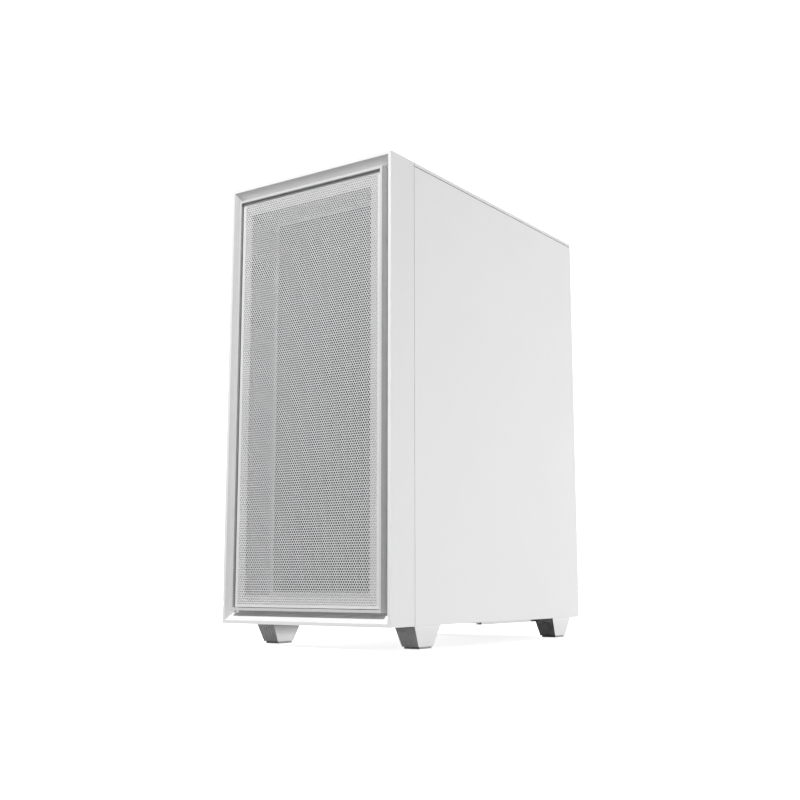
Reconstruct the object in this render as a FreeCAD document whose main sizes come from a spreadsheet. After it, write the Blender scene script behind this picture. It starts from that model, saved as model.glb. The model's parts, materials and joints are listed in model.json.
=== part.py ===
"""A desktop computer tower: a white mid-tower case with a perforated front, and what it holds.

Frame, in millimetres: X to the right of someone facing the front, Y from the front to the rear,
Z up.  The origin is on the ground, in the middle of the tower's length and width.
"""
import FreeCAD, Part
import math
import os
import Sketcher

# Name, value and meaning of every size that can be set by itself.
SIZES = [
    ("case_width", 210.0, "overall width"),
    ("body_height", 458.0, "height of the body above the feet"),
    ("case_depth", 386.0, "depth from the front rim to the rear plate"),
    ("rear_reach", 3.0, "how far the rear sockets stand behind the rear plate"),
    ("foot_height", 22.0, "height of the feet with their pads"),
    ("sheet", 1.0, "thickness of the steel sheet"),
    ("seam", 0.8, "gap between the side panels and the top cover"),
    ("slip", 0.3, "clearance beside parts that slide past each other"),
    # front panel
    ("bezel_depth", 40.0, "depth of the front panel's skin"),
    ("bezel_wall", 3.0, "wall of the front panel's skin"),
    ("rim_width", 3.3, "flat rim round the front"),
    ("bevel_side", 8.6, "inset of the bevel's inner edge at the sides"),
    ("bevel_end", 10.6, "inset of the bevel's inner edge at top and bottom"),
    ("bevel_depth", 7.5, "depth of the bevel"),
    ("groove_depth", 12.0, "depth of the groove round the mesh frame"),
    ("bezel_floor", 2.5, "thickness of the groove's floor"),
    ("tunnel_side", 26.7, "inset of the air tunnel at the sides"),
    ("tunnel_top", 30.5, "inset of the air tunnel at the top"),
    ("tunnel_bottom", 28.3, "inset of the air tunnel at the bottom"),
    ("tunnel_wall", 2.0, "wall of the air tunnel"),
    ("tunnel_gap", 0.5, "air tunnel's rear edge to the chassis"),
    ("tunnel_ledge", 3.0, "ledge inside the tunnel that the dust filter rests on"),
    ("ledge_depth", 1.5, "thickness of that ledge"),
    ("clip_radius", 3.0, "radius of the front panel's push pins"),
    ("clip_inset", 15.0, "push pin to the side of the body"),
    ("clip_end", 40.0, "push pin to the top or bottom of the body"),
    ("clip_reach", 7.0, "push pin's length behind the front plate"),
    ("clip_clearance", 0.4, "radial clearance of push pins and panel studs"),
    ("lip_side", 10.6, "inset of the mesh frame's lip at the sides"),
    ("lip_top", 13.3, "inset of the mesh frame's lip at the top"),
    ("lip_bottom", 13.0, "inset of the mesh frame's lip at the bottom"),
    ("lip_width", 2.8, "width of the mesh frame's lip"),
    ("mesh_recess", 3.0, "mesh sheet's front below the lip"),
    ("mesh_sheet", 0.8, "thickness of the mesh sheet"),
    ("mesh_gap", 0.1, "mesh sheet's edge to the lip"),
    ("flange_depth", 4.0, "thickness of the mesh frame's backing flange"),
    ("channel_width", 2.0, "channel in the flange next to the lip"),
    ("channel_depth", 2.0, "depth of that channel"),
    ("filter_thickness", 2.0, "thickness of the front dust filter"),
    # chassis
    ("chassis_gap", 6.0, "front plate of the chassis behind the front panel's skin"),
    ("pan_depth", 9.0, "depth of a side panel"),
    ("panel_gap", 0.5, "gap between the front panel and the side panels"),
    ("return_flange", 18.0, "side flanges of the front and rear plates"),
    ("cover_thickness", 3.5, "thickness of the top cover"),
    ("stud_radius", 2.8, "radius of a side panel's studs"),
    ("stud_reach", 12.0, "length of a side panel's studs from its skin"),
    ("stud_edge", 10.0, "stud to the front or rear edge of the chassis"),
    ("stud_end", 50.0, "stud to the top or bottom of the body"),
    ("glass_thickness", 3.0, "thickness of the glass side panel"),
    ("frame_band", 16.0, "width of the steel frame behind the glass"),
    ("pad_height", 2.0, "thickness of the pads under the feet and the power supply"),
    # feet
    ("foot_width", 24.0, "width of a foot at its top"),
    ("foot_length", 45.0, "length of a foot at its top"),
    ("foot_slope", 10.0, "how far each end of a foot leans in"),
    ("foot_taper", 2.2, "how far each side of a foot leans in"),
    ("foot_inset", 4.5, "foot to the side of the body"),
    ("foot_rear_gap", 14.0, "rear foot to the rear plate"),
    ("flute_width", 2.0, "width of a groove in a foot's front"),
    ("flute_depth", 1.2, "depth of that groove"),
    ("flute_band", 5.0, "plain band above the grooves"),
    # top
    ("vent_side", 22.0, "side of the top vent to the side of the body"),
    ("vent_front", 52.0, "front of the top vent behind the cover's front"),
    ("vent_rear", 14.0, "rear of the top vent to the rear plate"),
    ("top_filter_thickness", 2.5, "thickness of the top filter"),
    ("filter_gap", 0.5, "gap round the top filter"),
    ("slot_pitch", 14.0, "pitch of the air slots in the top plate"),
    ("slot_width", 9.0, "width of those slots"),
    ("button_radius", 8.0, "radius of the power button"),
    ("power_place", 56.0, "power button to the right of the middle"),
    ("reset_place", 38.0, "reset button to the right of the middle"),
    ("usb_right_place", 18.0, "right USB socket to the right of the middle"),
    ("usb_left_place", -2.0, "left USB socket to the right of the middle"),
    ("usb_top_width", 14.0, "width of a front USB socket"),
    ("usb_top_height", 6.8, "height of a front USB socket"),
    ("small_place", -20.0, "small front socket to the right of the middle"),
    ("small_width", 9.6, "width of the small front socket"),
    ("small_height", 5.4, "height of the small front socket"),
    ("headphone_place", -36.0, "headphone socket to the right of the middle"),
    ("microphone_place", -50.0, "microphone socket to the right of the middle"),
    ("audio_radius", 4.0, "radius of a front sound socket"),
    ("audio_bore", 1.8, "radius of a sound socket's bore"),
    ("shell_wall", 0.6, "wall of a front socket's metal shell"),
    ("switch_height", 0.5, "height of a switch under a button"),
    ("reset_radius", 3.0, "radius of the reset button"),
    ("button_stem", 2.0, "radius of a button's stem"),
    ("button_travel_room", 2.2, "room under a button's head"),
    ("io_line", 26.0, "line of the controls behind the top cover's front"),
    ("board_thickness", 1.6, "thickness of a circuit board"),
    ("io_board_reach", 72.0, "front socket board's end to the middle of the tower"),
    ("io_board_drop", 13.0, "front socket board below the top plate"),
    # fans
    ("fan_side", 120.0, "side of a case fan"),
    ("fan_depth", 25.0, "depth of a case fan"),
    ("fan_bore", 57.5, "radius of a fan's air opening"),
    ("fan_tip", 56.0, "radius of a fan's blade tips"),
    ("fan_hub", 20.0, "radius of a fan's hub"),
    ("fan_mount", 21.0, "radius of the plate that carries the hub"),
    ("fan_mount_depth", 5.0, "thickness of that plate"),
    ("strut_width", 5.0, "width of the struts that carry it"),
    ("shaft_radius", 1.5, "radius of a fan's shaft"),
    ("shaft_clearance", 0.05, "radial clearance of a fan's shaft"),
    ("shaft_length", 3.5, "length of the shaft in its bore"),
    ("fan_screw", 2.2, "radius of a fan's corner holes"),
    ("fan_screw_inset", 7.5, "corner hole to the fan's side"),
    ("blade_chord", 26.0, "chord of a blade across the fan"),
    ("blade_thickness", 1.8, "thickness of a blade"),
    ("front_fan_gap", 2.0, "gap between neighbouring front fans"),
    ("rear_fan_top", 20.0, "rear fan to the top plate"),
    ("rear_fan_side", 3.0, "rear fan to the left flange"),
    # board and what is on it
    ("tray_inset", 26.0, "motherboard tray to the right side of the body"),
    ("standoff_length", 6.5, "length of a standoff"),
    ("standoff_radius", 3.0, "radius of a standoff"),
    ("board_width", 244.0, "motherboard's size from front to rear"),
    ("board_height", 305.0, "motherboard's height"),
    ("board_top_gap", 20.0, "motherboard to the top plate"),
    ("board_rear_gap", 3.0, "motherboard to the rear plate's outside"),
    ("socket_side", 45.0, "side of the processor socket"),
    ("socket_height", 5.0, "height of the processor in its socket"),
    ("socket_rear", 82.0, "processor to the board's rear edge"),
    ("socket_top", 75.0, "processor to the board's top edge"),
    ("fin_side", 120.0, "width and height of the cooler's fins"),
    ("fin_depth", 50.0, "depth of the cooler's fins"),
    ("fin_thickness", 0.8, "thickness of a cooler fin"),
    ("fin_pitch", 4.5, "pitch of the cooler fins"),
    ("cooler_base", 9.0, "thickness of the cooler's base"),
    ("cooler_neck", 32.0, "free height of the heat pipes"),
    ("pipe_radius", 3.0, "radius of a heat pipe"),
    ("pipe_pitch", 9.0, "pitch of the heat pipes"),
    ("module_length", 133.0, "length of a memory module"),
    ("module_height", 36.0, "height of a memory module"),
    ("module_thickness", 6.0, "thickness of a memory module"),
    ("module_pitch", 9.5, "pitch of the memory slots"),
    ("module_rear", 172.0, "first memory slot to the board's rear edge"),
    ("module_slot_height", 8.0, "height of a memory slot"),
    ("module_slot_width", 7.5, "width of a memory slot"),
    ("card_slot_height", 11.0, "height of an expansion slot"),
    ("card_slot_length", 89.0, "length of an expansion slot"),
    ("card_slot_width", 7.5, "width of an expansion slot"),
    ("card_slot_rear", 44.0, "expansion slot to the board's rear edge"),
    ("slot_groove", 1.9, "width of the groove in a slot"),
    ("slot_wall", 4.0, "slot's floor"),
    ("expansion_pitch", 20.32, "pitch of the expansion slots"),
    ("first_slot_drop", 180.5, "first expansion slot below the board's top"),
    ("plug_height", 11.0, "height of the main power socket on the board"),
    ("plug_length", 52.0, "length of the main power socket"),
    ("plug_width", 9.0, "width of the main power socket"),
    ("plug_drop", 90.0, "main power socket below the board's top"),
    ("rear_cooler_drop", 36.0, "rear board cooler's low end below the processor"),
    ("rear_cooler_length", 78.0, "length of the rear board cooler"),
    ("rear_cooler_width", 18.0, "width of the rear board cooler"),
    ("rear_cooler_height", 26.0, "height of the rear board cooler"),
    ("top_cooler_front", 40.0, "top board cooler's front end before the processor"),
    ("top_cooler_length", 64.0, "length of the top board cooler"),
    ("top_cooler_width", 18.0, "width of the top board cooler"),
    ("top_cooler_height", 22.0, "height of the top board cooler"),
    ("top_cooler_edge", 6.0, "top board cooler to the board's top"),
    ("chipset_side", 52.0, "side of the chipset's cooler"),
    ("chipset_height", 8.0, "height of the chipset's cooler"),
    ("chipset_front", 22.0, "chipset's cooler to the board's front edge"),
    ("chipset_low", 40.0, "chipset's cooler to the board's lower edge"),
    # rear
    ("io_width", 41.0, "width of the rear socket opening"),
    ("io_height", 155.0, "height of the rear socket opening"),
    ("io_border", 2.0, "socket plate's border behind the rear plate"),
    ("port_gap", 0.3, "gap round each socket in its plate"),
    ("port_depth", 22.0, "depth of the sockets in front of the rear plate's outside"),
    ("port_wall", 1.5, "wall of a socket"),
    ("port_hollow", 12.0, "depth of a socket's hollow"),
    ("usb_width", 15.0, "width of a rear USB socket"),
    ("usb_pair_drop", 12.0, "pair of USB sockets below the opening's top"),
    ("usb_pair_height", 16.0, "height of the pair of USB sockets"),
    ("usb_stack_height", 30.0, "height of a stack of USB sockets"),
    ("upper_stack_drop", 58.0, "upper USB stack below the opening's top"),
    ("lower_stack_drop", 102.0, "lower USB stack below the opening's top"),
    ("usb_hollow_width", 12.4, "width of a rear USB socket's hollow"),
    ("usb_hollow_height", 5.4, "height of a rear USB socket's hollow"),
    ("video_drop", 35.0, "video sockets below the opening's top"),
    ("video_width", 17.0, "width of the video sockets"),
    ("video_height", 20.0, "height of the video sockets"),
    ("video_hollow_width", 13.0, "width of a video socket's hollow"),
    ("video_hollow_height", 5.0, "height of a video socket's hollow"),
    ("network_drop", 80.0, "network socket below the opening's top"),
    ("network_width", 17.0, "width of the network socket"),
    ("network_height", 30.0, "height of the network socket's stack"),
    ("network_hollow_width", 13.0, "width of the network socket's hollow"),
    ("network_hollow_height", 11.0, "height of the network socket's hollow"),
    ("jack_radius", 4.5, "radius of a rear sound socket"),
    ("jack_bore", 1.8, "radius of a rear sound socket's bore"),
    ("jack_drop", 124.0, "upper row of sound sockets below the opening's top"),
    ("jack_pitch", 13.0, "pitch of the sound sockets"),
    ("jack_rise", 7.0, "first sound socket above the board"),
    ("jack_margin", 8.0, "sound socket to the end of their block"),
    ("recess_depth", 11.0, "depth of the recess for the expansion slots"),
    ("recess_height", 146.0, "height of that recess"),
    ("recess_left", 39.0, "left side of the recess to the left side of the body"),
    ("window_height", 12.5, "height of one expansion window"),
    ("cover_height", 18.4, "height of one slot cover"),
    ("cover_left", 55.0, "slot cover's fixed end to the left side of the body"),
    ("cover_drop", 5.0, "centre of a slot cover below its slot"),
    ("tab_length", 9.0, "length of a slot cover's bent tab"),
    ("screw_radius", 1.5, "radius of a slot screw's shank"),
    ("screw_head", 3.2, "radius of a slot screw's head"),
    ("screw_head_depth", 3.0, "height of a slot screw's head"),
    ("screw_length", 6.0, "length of a slot screw's shank"),
    ("screw_clearance", 0.1, "radial clearance of a slot screw"),
    # graphics card
    ("card_length", 250.0, "length of the graphics card"),
    ("card_height", 112.0, "height of the graphics card's board"),
    ("card_shroud", 36.0, "thickness of the card's cooler"),
    ("card_gap", 1.0, "gap between the card's board and its cooler's sides"),
    ("card_post", 4.0, "radius of the posts that carry the cooler"),
    ("card_post_inset", 15.0, "post to the end of the card"),
    ("card_fan_tip", 42.0, "radius of a graphics fan's blade tips"),
    ("card_fan_bore", 43.5, "radius of a graphics fan's opening"),
    ("card_fan_hub", 14.0, "radius of a graphics fan's hub"),
    ("card_fan_pitch", 100.0, "distance between the graphics fans"),
    ("card_fan_depth", 16.0, "depth of a graphics fan"),
    ("card_fan_chord", 20.0, "chord of a graphics fan's blade across the fan"),
    # power supply
    ("psu_width", 150.0, "power supply's width"),
    ("psu_height", 86.0, "power supply's height"),
    ("psu_depth", 140.0, "power supply's depth"),
    ("psu_right", 27.0, "power supply to the right side of the body"),
    ("psu_border", 4.0, "rear plate's border over the power supply"),
    ("psu_fan_inner", 27.0, "height of the fan inside the power supply"),
    ("inlet_width", 28.0, "width of the mains inlet"),
    ("inlet_height", 20.0, "height of the mains inlet"),
    ("inlet_depth", 24.0, "depth of the mains inlet"),
    ("inlet_wall", 2.0, "wall of the mains inlet"),
    ("inlet_side", 30.0, "mains inlet to the power supply's right side"),
    ("inlet_rise", 52.0, "mains inlet above the power supply's underside"),
    ("rocker_width", 12.0, "width of the mains switch"),
    ("rocker_height", 18.0, "height of the mains switch"),
    ("rocker_side", 68.0, "mains switch to the power supply's right side"),
    ("rocker_throw", 2.2, "how far the raised end of the mains switch stands out"),
    ("rocker_clear", 2.0, "mains switch's ends to its opening"),
    ("rocker_pin", 1.5, "radius of the mains switch's pivot"),
    ("shroud_height", 103.0, "height of the power supply cover"),
    ("lid_slots_front", 96.0, "first air slot behind the power supply cover's front"),
    ("lid_slots_left", 50.0, "left end of those slots to the middle of the tower"),
    ("lid_slots_right", 30.0, "right end of those slots to the middle of the tower"),
    ("shroud_front_gap", 3.0, "power supply cover to the front fans"),
    # drives
    ("cage_length", 106.0, "length of the drive cage"),
    ("cage_height", 66.0, "height of the drive cage"),
    ("cage_width", 150.0, "width of the drive cage"),
    ("cage_front_gap", 6.0, "drive cage to the power supply cover's front"),
    ("drive_length", 147.0, "length of the hard drive"),
    ("drive_width", 101.6, "width of the hard drive"),
    ("drive_height", 26.1, "height of the hard drive"),
    ("drive_rail", 8.0, "height of the rails that carry the hard drive"),
    ("ssd_length", 100.0, "length of the solid state drive"),
    ("ssd_width", 70.0, "width of the solid state drive"),
    ("ssd_height", 7.0, "thickness of the solid state drive"),
    ("ssd_left", 40.0, "solid state drive to the left side of the body"),
    ("ssd_front", 8.0, "solid state drive behind the power supply cover's front"),
    # bottom filter
    ("rail_inset", 30.0, "outside of the filter's rails to the side of the body"),
    ("rail_width", 3.5, "width of a rail"),
    ("rail_height", 4.2, "height of a rail"),
    ("bottom_filter_thickness", 2.0, "thickness of the bottom filter"),
    ("bottom_filter_length", 170.0, "length of the bottom filter"),
    ("bottom_filter_tab", 5.0, "bottom filter's handle to the rear plate"),
    ("grip_reach", 20.0, "half the width of the bottom filter's handle"),
    # cables
    ("cable_radius", 6.0, "radius of the main power cable bundle"),
    ("card_cable_radius", 4.0, "radius of the graphics card's cable"),
    ("cable_run", 34.0, "main cable's distance in front of the board"),
    ("grommet_gap", 1.0, "cable to the edge of its hole in the tray"),
    ("cable_start", 12.0, "cable's start behind the tray"),
    ("cable_end", 10.0, "straight run at the main cable's bends"),
    ("cable_lift", 14.0, "how far the main cable bows out from the board"),
    ("cable_bow", 8.0, "how far behind its hole the main cable bows out"),
    ("card_cable_drop", 30.0, "card cable's first bend to the tray"),
    ("card_cable_end", 24.0, "card cable's last bend to the card"),
]


class Size:
    """A length kept as a number and as the sheet expression that gives it."""

    def __init__(self, text, value):
        self.text = text
        self.value = value

    def __add__(self, other):
        other = as_size(other)
        return Size(f"({self.text} + {other.text})", self.value + other.value)

    def __sub__(self, other):
        other = as_size(other)
        return Size(f"({self.text} - {other.text})", self.value - other.value)

    def __mul__(self, factor):
        factor = as_size(factor)
        return Size(f"({self.text} * {factor.text})", self.value * factor.value)

    def __truediv__(self, factor):
        factor = as_size(factor)
        return Size(f"({self.text} / {factor.text})", self.value / factor.value)

    def __neg__(self):
        return Size(f"(0 - {self.text})", -self.value)

    __radd__ = __add__
    __rmul__ = __mul__


def as_size(number):
    """A plain number is a size too."""
    if isinstance(number, Size):
        return number
    return Size(f"({float(number)!r})", float(number))


doc = FreeCAD.newDocument("desktop_computer_tower")
sheet_object = doc.addObject("Spreadsheet::Sheet", "dims")


class Dims:
    """Holds one attribute for each named size."""


d = Dims()
for row, (alias, value, meaning) in enumerate(SIZES, start=1):
    sheet_object.set(f"A{row}", meaning)
    sheet_object.set(f"B{row}", str(value))
    sheet_object.setAlias(f"B{row}", alias)
    setattr(d, alias, Size(f"dims.{alias}", value))
doc.recompute()

parts = []
ZERO = as_size(0.0)
PLANES = {"x": "YZ_Plane", "y": "XZ_Plane", "z": "XY_Plane"}
ROD_TURNS = {
    "x": FreeCAD.Rotation(FreeCAD.Vector(0, 1, 0), 90),
    "y": FreeCAD.Rotation(FreeCAD.Vector(1, 0, 0), -90),
    "z": FreeCAD.Rotation(),
}


def keep(shape_object, label):
    """Names a finished sub-part and adds it to the list that is exported."""
    shape_object.Label = label
    parts.append(shape_object)
    return shape_object


def block(name, x, y, z):
    """A box between low and high limits along each axis."""
    box = doc.addObject("Part::Box", name)
    for side, axis, (low, high) in zip(("Length", "Width", "Height"), "xyz", (x, y, z)):
        box.setExpression(side, (high - low).text)
        box.setExpression(f"Placement.Base.{axis}", as_size(low).text)
    return box


def rod(name, axis, centre, radius, span):
    """A cylinder along one axis; centre gives the two other coordinates in X, Y, Z order."""
    cylinder = doc.addObject("Part::Cylinder", name)
    cylinder.Placement = FreeCAD.Placement(FreeCAD.Vector(), ROD_TURNS[axis])
    cylinder.setExpression("Radius", as_size(radius).text)
    cylinder.setExpression("Height", (span[1] - span[0]).text)
    place = list(centre)
    place.insert("xyz".index(axis), span[0])
    for letter, coordinate in zip("xyz", place):
        cylinder.setExpression(f"Placement.Base.{letter}", as_size(coordinate).text)
    return cylinder


def group(name, members):
    """Separate solids in one sub-part."""
    compound = doc.addObject("Part::Compound", name)
    compound.Links = list(members)
    return compound


def fuse(name, members):
    """One solid from several that touch."""
    union = doc.addObject("Part::MultiFuse", name)
    union.Shapes = list(members)
    union.Refine = True
    return union


def cut(name, base, tools):
    """A solid less its cut-outs, which don't overlap each other."""
    difference = doc.addObject("Part::Cut", name)
    difference.Base = base
    difference.Tool = group(f"{name}_cuts", tools)
    return difference


def rect(u, v):
    """A rectangular outline between two pairs of limits."""
    return [(u[0], v[0]), (u[1], v[0]), (u[1], v[1]), (u[0], v[1])]


def disc(u, v, radius):
    """A round outline."""
    return (as_size(u), as_size(v), as_size(radius))


def pin_point(sketch, index, point, place):
    """Fixes a point of a sketch's geometry at a place that the sheet gives."""
    for kind, coordinate in zip(("DistanceX", "DistanceY"), place):
        coordinate = as_size(coordinate)
        number = sketch.addConstraint(Sketcher.Constraint(kind, -1, 1, index, point, coordinate.value))
        sketch.setExpression(f"Constraints[{number}]", coordinate.text)


def outline(owner, name, axis, level, loops):
    """A sketch square to an axis, at a level along that plane's normal."""
    sketch = owner.newObject("Sketcher::SketchObject", name)
    plane = [f for f in owner.Origin.OriginFeatures if f.Role == PLANES[axis]][0]
    sketch.AttachmentSupport = (plane, [""])
    sketch.MapMode = "FlatFace"
    sketch.setExpression("AttachmentOffset.Base.z", level.text)
    for loop in loops:
        first = sketch.GeometryCount
        if isinstance(loop, tuple):
            u, v, radius = loop
            centre = FreeCAD.Vector(u.value, v.value, 0)
            circle = Part.Circle(centre, FreeCAD.Vector(0, 0, 1), radius.value)
            sketch.addGeometry(circle, False)
            pin_point(sketch, first, 3, (u, v))
            number = sketch.addConstraint(Sketcher.Constraint("Radius", first, radius.value))
            sketch.setExpression(f"Constraints[{number}]", radius.text)
            continue
        corners = [(as_size(u), as_size(v)) for u, v in loop]
        spots = [FreeCAD.Vector(u.value, v.value, 0) for u, v in corners]
        for start, end in zip(spots, spots[1:] + spots[:1]):
            sketch.addGeometry(Part.LineSegment(start, end), False)
        for side in range(len(loop)):
            following = first + (side + 1) % len(loop)
            sketch.addConstraint(Sketcher.Constraint("Coincident", first + side, 2, following, 1))
        for side, corner in enumerate(corners):
            pin_point(sketch, first + side, 1, corner)
    return sketch


def along_normal(axis, span):
    """A span along an axis as a span along its sketch plane's normal, which is -Y for Y."""
    low, high = as_size(span[0]), as_size(span[1])
    return (-high, -low) if axis == "y" else (low, high)


def pad(owner, name, axis, loops, span):
    """Adds the outlines' prism over a span of the axis."""
    low, high = along_normal(axis, span)
    feature = owner.newObject("PartDesign::Pad", name)
    feature.Profile = outline(owner, f"{name}_sketch", axis, low, loops)
    feature.setExpression("Length", (high - low).text)
    return feature


def pocket(owner, name, axis, loops, span):
    """Removes the outlines' prism over a span of the axis."""
    low, high = along_normal(axis, span)
    feature = owner.newObject("PartDesign::Pocket", name)
    feature.Profile = outline(owner, f"{name}_sketch", axis, high, loops)
    feature.setExpression("Length", (high - low).text)
    return feature


def new_body(label):
    """A PartDesign body that is one sub-part."""
    return keep(doc.addObject("PartDesign::Body", label), label)


def row_of(owner, name, feature, direction, spacing, count):
    """Repeats a feature along one of the body's axes."""
    pattern = owner.newObject("PartDesign::LinearPattern", name)
    pattern.Originals = [feature]
    pattern.Direction = ([f for f in owner.Origin.OriginFeatures if f.Role == direction][0], [""])
    pattern.setExpression("Length", (spacing * (count - 1)).text)
    pattern.Occurrences = count
    owner.Tip = pattern
    return pattern


def place_body(owner, place, rotation):
    """Turns a body made round its own axis and puts it where it belongs."""
    owner.Placement = FreeCAD.Placement(FreeCAD.Vector(), rotation)
    for letter, coordinate in zip("xyz", place):
        owner.setExpression(f"Placement.Base.{letter}", as_size(coordinate).text)


# Main planes of the tower.
side = d.case_width / 2
front = -(d.case_depth + d.rear_reach) / 2
rear = front + d.case_depth
base = d.foot_height
top = d.foot_height + d.body_height
bezel_back = front + d.bezel_depth
plate_front = bezel_back + d.chassis_gap
plate_back = plate_front + d.sheet
tunnel_back = plate_front - d.tunnel_gap
inner_rear = rear - d.sheet
seat = side - d.pan_depth
cover_bottom = top - d.cover_thickness
top_plate_low = cover_bottom - d.sheet
floor_top = base + d.sheet
clip_rows = [base + d.clip_end, base + d.body_height / 2, top - d.clip_end]


def ring(x_inset, low_inset, high_inset):
    """A rectangle in the front plane, inset from the body's outline."""
    return rect((x_inset - side, side - x_inset), (base + low_inset, top - high_inset))


def make_bezel():
    """The front panel's moulding: skin, bevel, groove, air tunnel and push pins."""
    bezel = new_body("front_bezel")
    floor_back = front + d.groove_depth + d.bezel_floor
    pad(bezel, "skin", "y", [ring(ZERO, ZERO, ZERO)], (front, bezel_back))
    wall = d.bezel_wall
    pocket(bezel, "inside", "y", [ring(wall, wall, wall)], (floor_back, bezel_back))
    tunnel = ring(d.tunnel_side, d.tunnel_bottom, d.tunnel_top)
    outer = ring(d.tunnel_side - d.tunnel_wall, d.tunnel_bottom - d.tunnel_wall,
                 d.tunnel_top - d.tunnel_wall)
    pad(bezel, "tunnel", "y", [outer], (front + d.groove_depth, tunnel_back))
    pins = []
    for x in (side - d.clip_inset, d.clip_inset - side):
        for z in clip_rows:
            pins.append(disc(x, z, d.clip_radius))
    pad(bezel, "pins", "y", pins, (front + d.groove_depth, plate_back + d.clip_reach))
    ledge = d.tunnel_ledge
    gate = ring(d.tunnel_side + ledge, d.tunnel_bottom + ledge, d.tunnel_top + ledge)
    seat_plane = tunnel_back - d.filter_thickness
    pocket(bezel, "gate", "y", [gate], (front, tunnel_back))
    pocket(bezel, "air_way", "y", [tunnel], (front, seat_plane - d.ledge_depth))
    pocket(bezel, "filter_seat", "y", [tunnel], (seat_plane, tunnel_back))
    inner_edge = ring(d.bevel_side, d.bevel_end, d.bevel_end)
    bevel = bezel.newObject("PartDesign::SubtractiveLoft", "bevel")
    rim = ring(d.rim_width, d.rim_width, d.rim_width)
    bevel.Profile = outline(bezel, "rim_sketch", "y", -front, [rim])
    bevel.Sections = [outline(bezel, "bevel_sketch", "y", -(front + d.bevel_depth), [inner_edge])]
    bevel.Ruled = True
    pocket(bezel, "groove", "y", [inner_edge], (front, front + d.groove_depth))
    return bezel


def make_mesh_frame():
    """The frame that holds the mesh sheet: a lip in front and a flange behind the sheet."""
    frame = new_body("front_mesh_frame")
    lip_outer = ring(d.lip_side, d.lip_bottom, d.lip_top)
    wide = d.lip_width
    lip_inner = ring(d.lip_side + wide, d.lip_bottom + wide, d.lip_top + wide)
    opening = ring(d.tunnel_side, d.tunnel_bottom, d.tunnel_top)
    back = front + d.mesh_recess + d.mesh_sheet
    pad(frame, "lip", "y", [lip_outer, lip_inner], (front, front + d.groove_depth))
    pad(frame, "flange", "y", [lip_outer, opening], (back, back + d.flange_depth))
    wide = d.lip_width + d.channel_width
    channel = ring(d.lip_side + wide, d.lip_bottom + wide, d.lip_top + wide)
    pocket(frame, "channel", "y", [lip_inner, channel], (back, back + d.channel_depth))


def make_front_sheets():
    """The mesh sheet inside the lip, and the dust filter at the end of the tunnel."""
    edge = d.lip_width + d.mesh_gap
    mesh = block("front_mesh", (d.lip_side + edge - side, side - d.lip_side - edge),
                 (front + d.mesh_recess, front + d.mesh_recess + d.mesh_sheet),
                 (base + d.lip_bottom + edge, top - d.lip_top - edge))
    keep(mesh, "front_mesh")
    room = d.tunnel_side + d.mesh_gap
    dust = block("front_dust_filter", (room - side, side - room),
                 (tunnel_back - d.filter_thickness, tunnel_back),
                 (base + d.tunnel_bottom + d.mesh_gap, top - d.tunnel_top - d.mesh_gap))
    keep(dust, "front_dust_filter")


fan_rise = d.fan_side + d.front_fan_gap
fan_middle = base + d.body_height / 2
front_fans = {"lower": fan_middle - fan_rise, "middle": fan_middle, "upper": fan_middle + fan_rise}
front_fan_back = plate_back + d.fan_depth
rear_fan_x = d.rear_fan_side + d.sheet + d.fan_side / 2 - seat
rear_fan_z = top_plate_low - d.rear_fan_top - d.fan_side / 2
stud_rows = [base + d.stud_end, top - d.stud_end]
stud_lines = [plate_front + d.stud_edge, rear - d.stud_edge]


def flange_holes(name, y):
    """Cuts through both side flanges for the side panels' studs."""
    radius = d.stud_radius + d.clip_clearance
    return [rod(name, "x", (y, z), radius, (-side, side)) for z in stud_rows]


def side_flanges(name, y):
    """The two flanges that the side panels rest on."""
    low = d.sheet - seat
    high = seat - d.sheet
    z = (floor_top, top_plate_low)
    return [block(name, (-seat, low), y, z), block(name, (high, seat), y, z)]


def make_front_plate():
    """The chassis's front: three fan openings and holes for the push pins."""
    plate = block("front_sheet", (-seat, seat), (plate_front, plate_back), (floor_top, top_plate_low))
    flanges = side_flanges("front_flange", (plate_back, plate_back + d.return_flange))
    holes = [rod("fan_opening", "y", (ZERO, z), d.fan_bore, (plate_front, plate_back))
             for z in front_fans.values()]
    for x in (side - d.clip_inset, d.clip_inset - side):
        for z in clip_rows:
            radius = d.clip_radius + d.clip_clearance
            holes.append(rod("pin_hole", "y", (x, z), radius, (plate_front, plate_back)))
    whole = fuse("front_folded", [plate] + flanges)
    holes += flange_holes("front_stud_hole", stud_lines[0])
    keep(cut("chassis_front_plate", whole, holes), "chassis_front_plate")


psu_x = (side - d.psu_right - d.psu_width, side - d.psu_right)
psu_z = (floor_top + d.pad_height, floor_top + d.pad_height + d.psu_height)
psu_y = (inner_rear - d.psu_depth, inner_rear)
psu_fan = ((psu_x[0] + psu_x[1]) / 2, (psu_y[0] + psu_y[1]) / 2)


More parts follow.
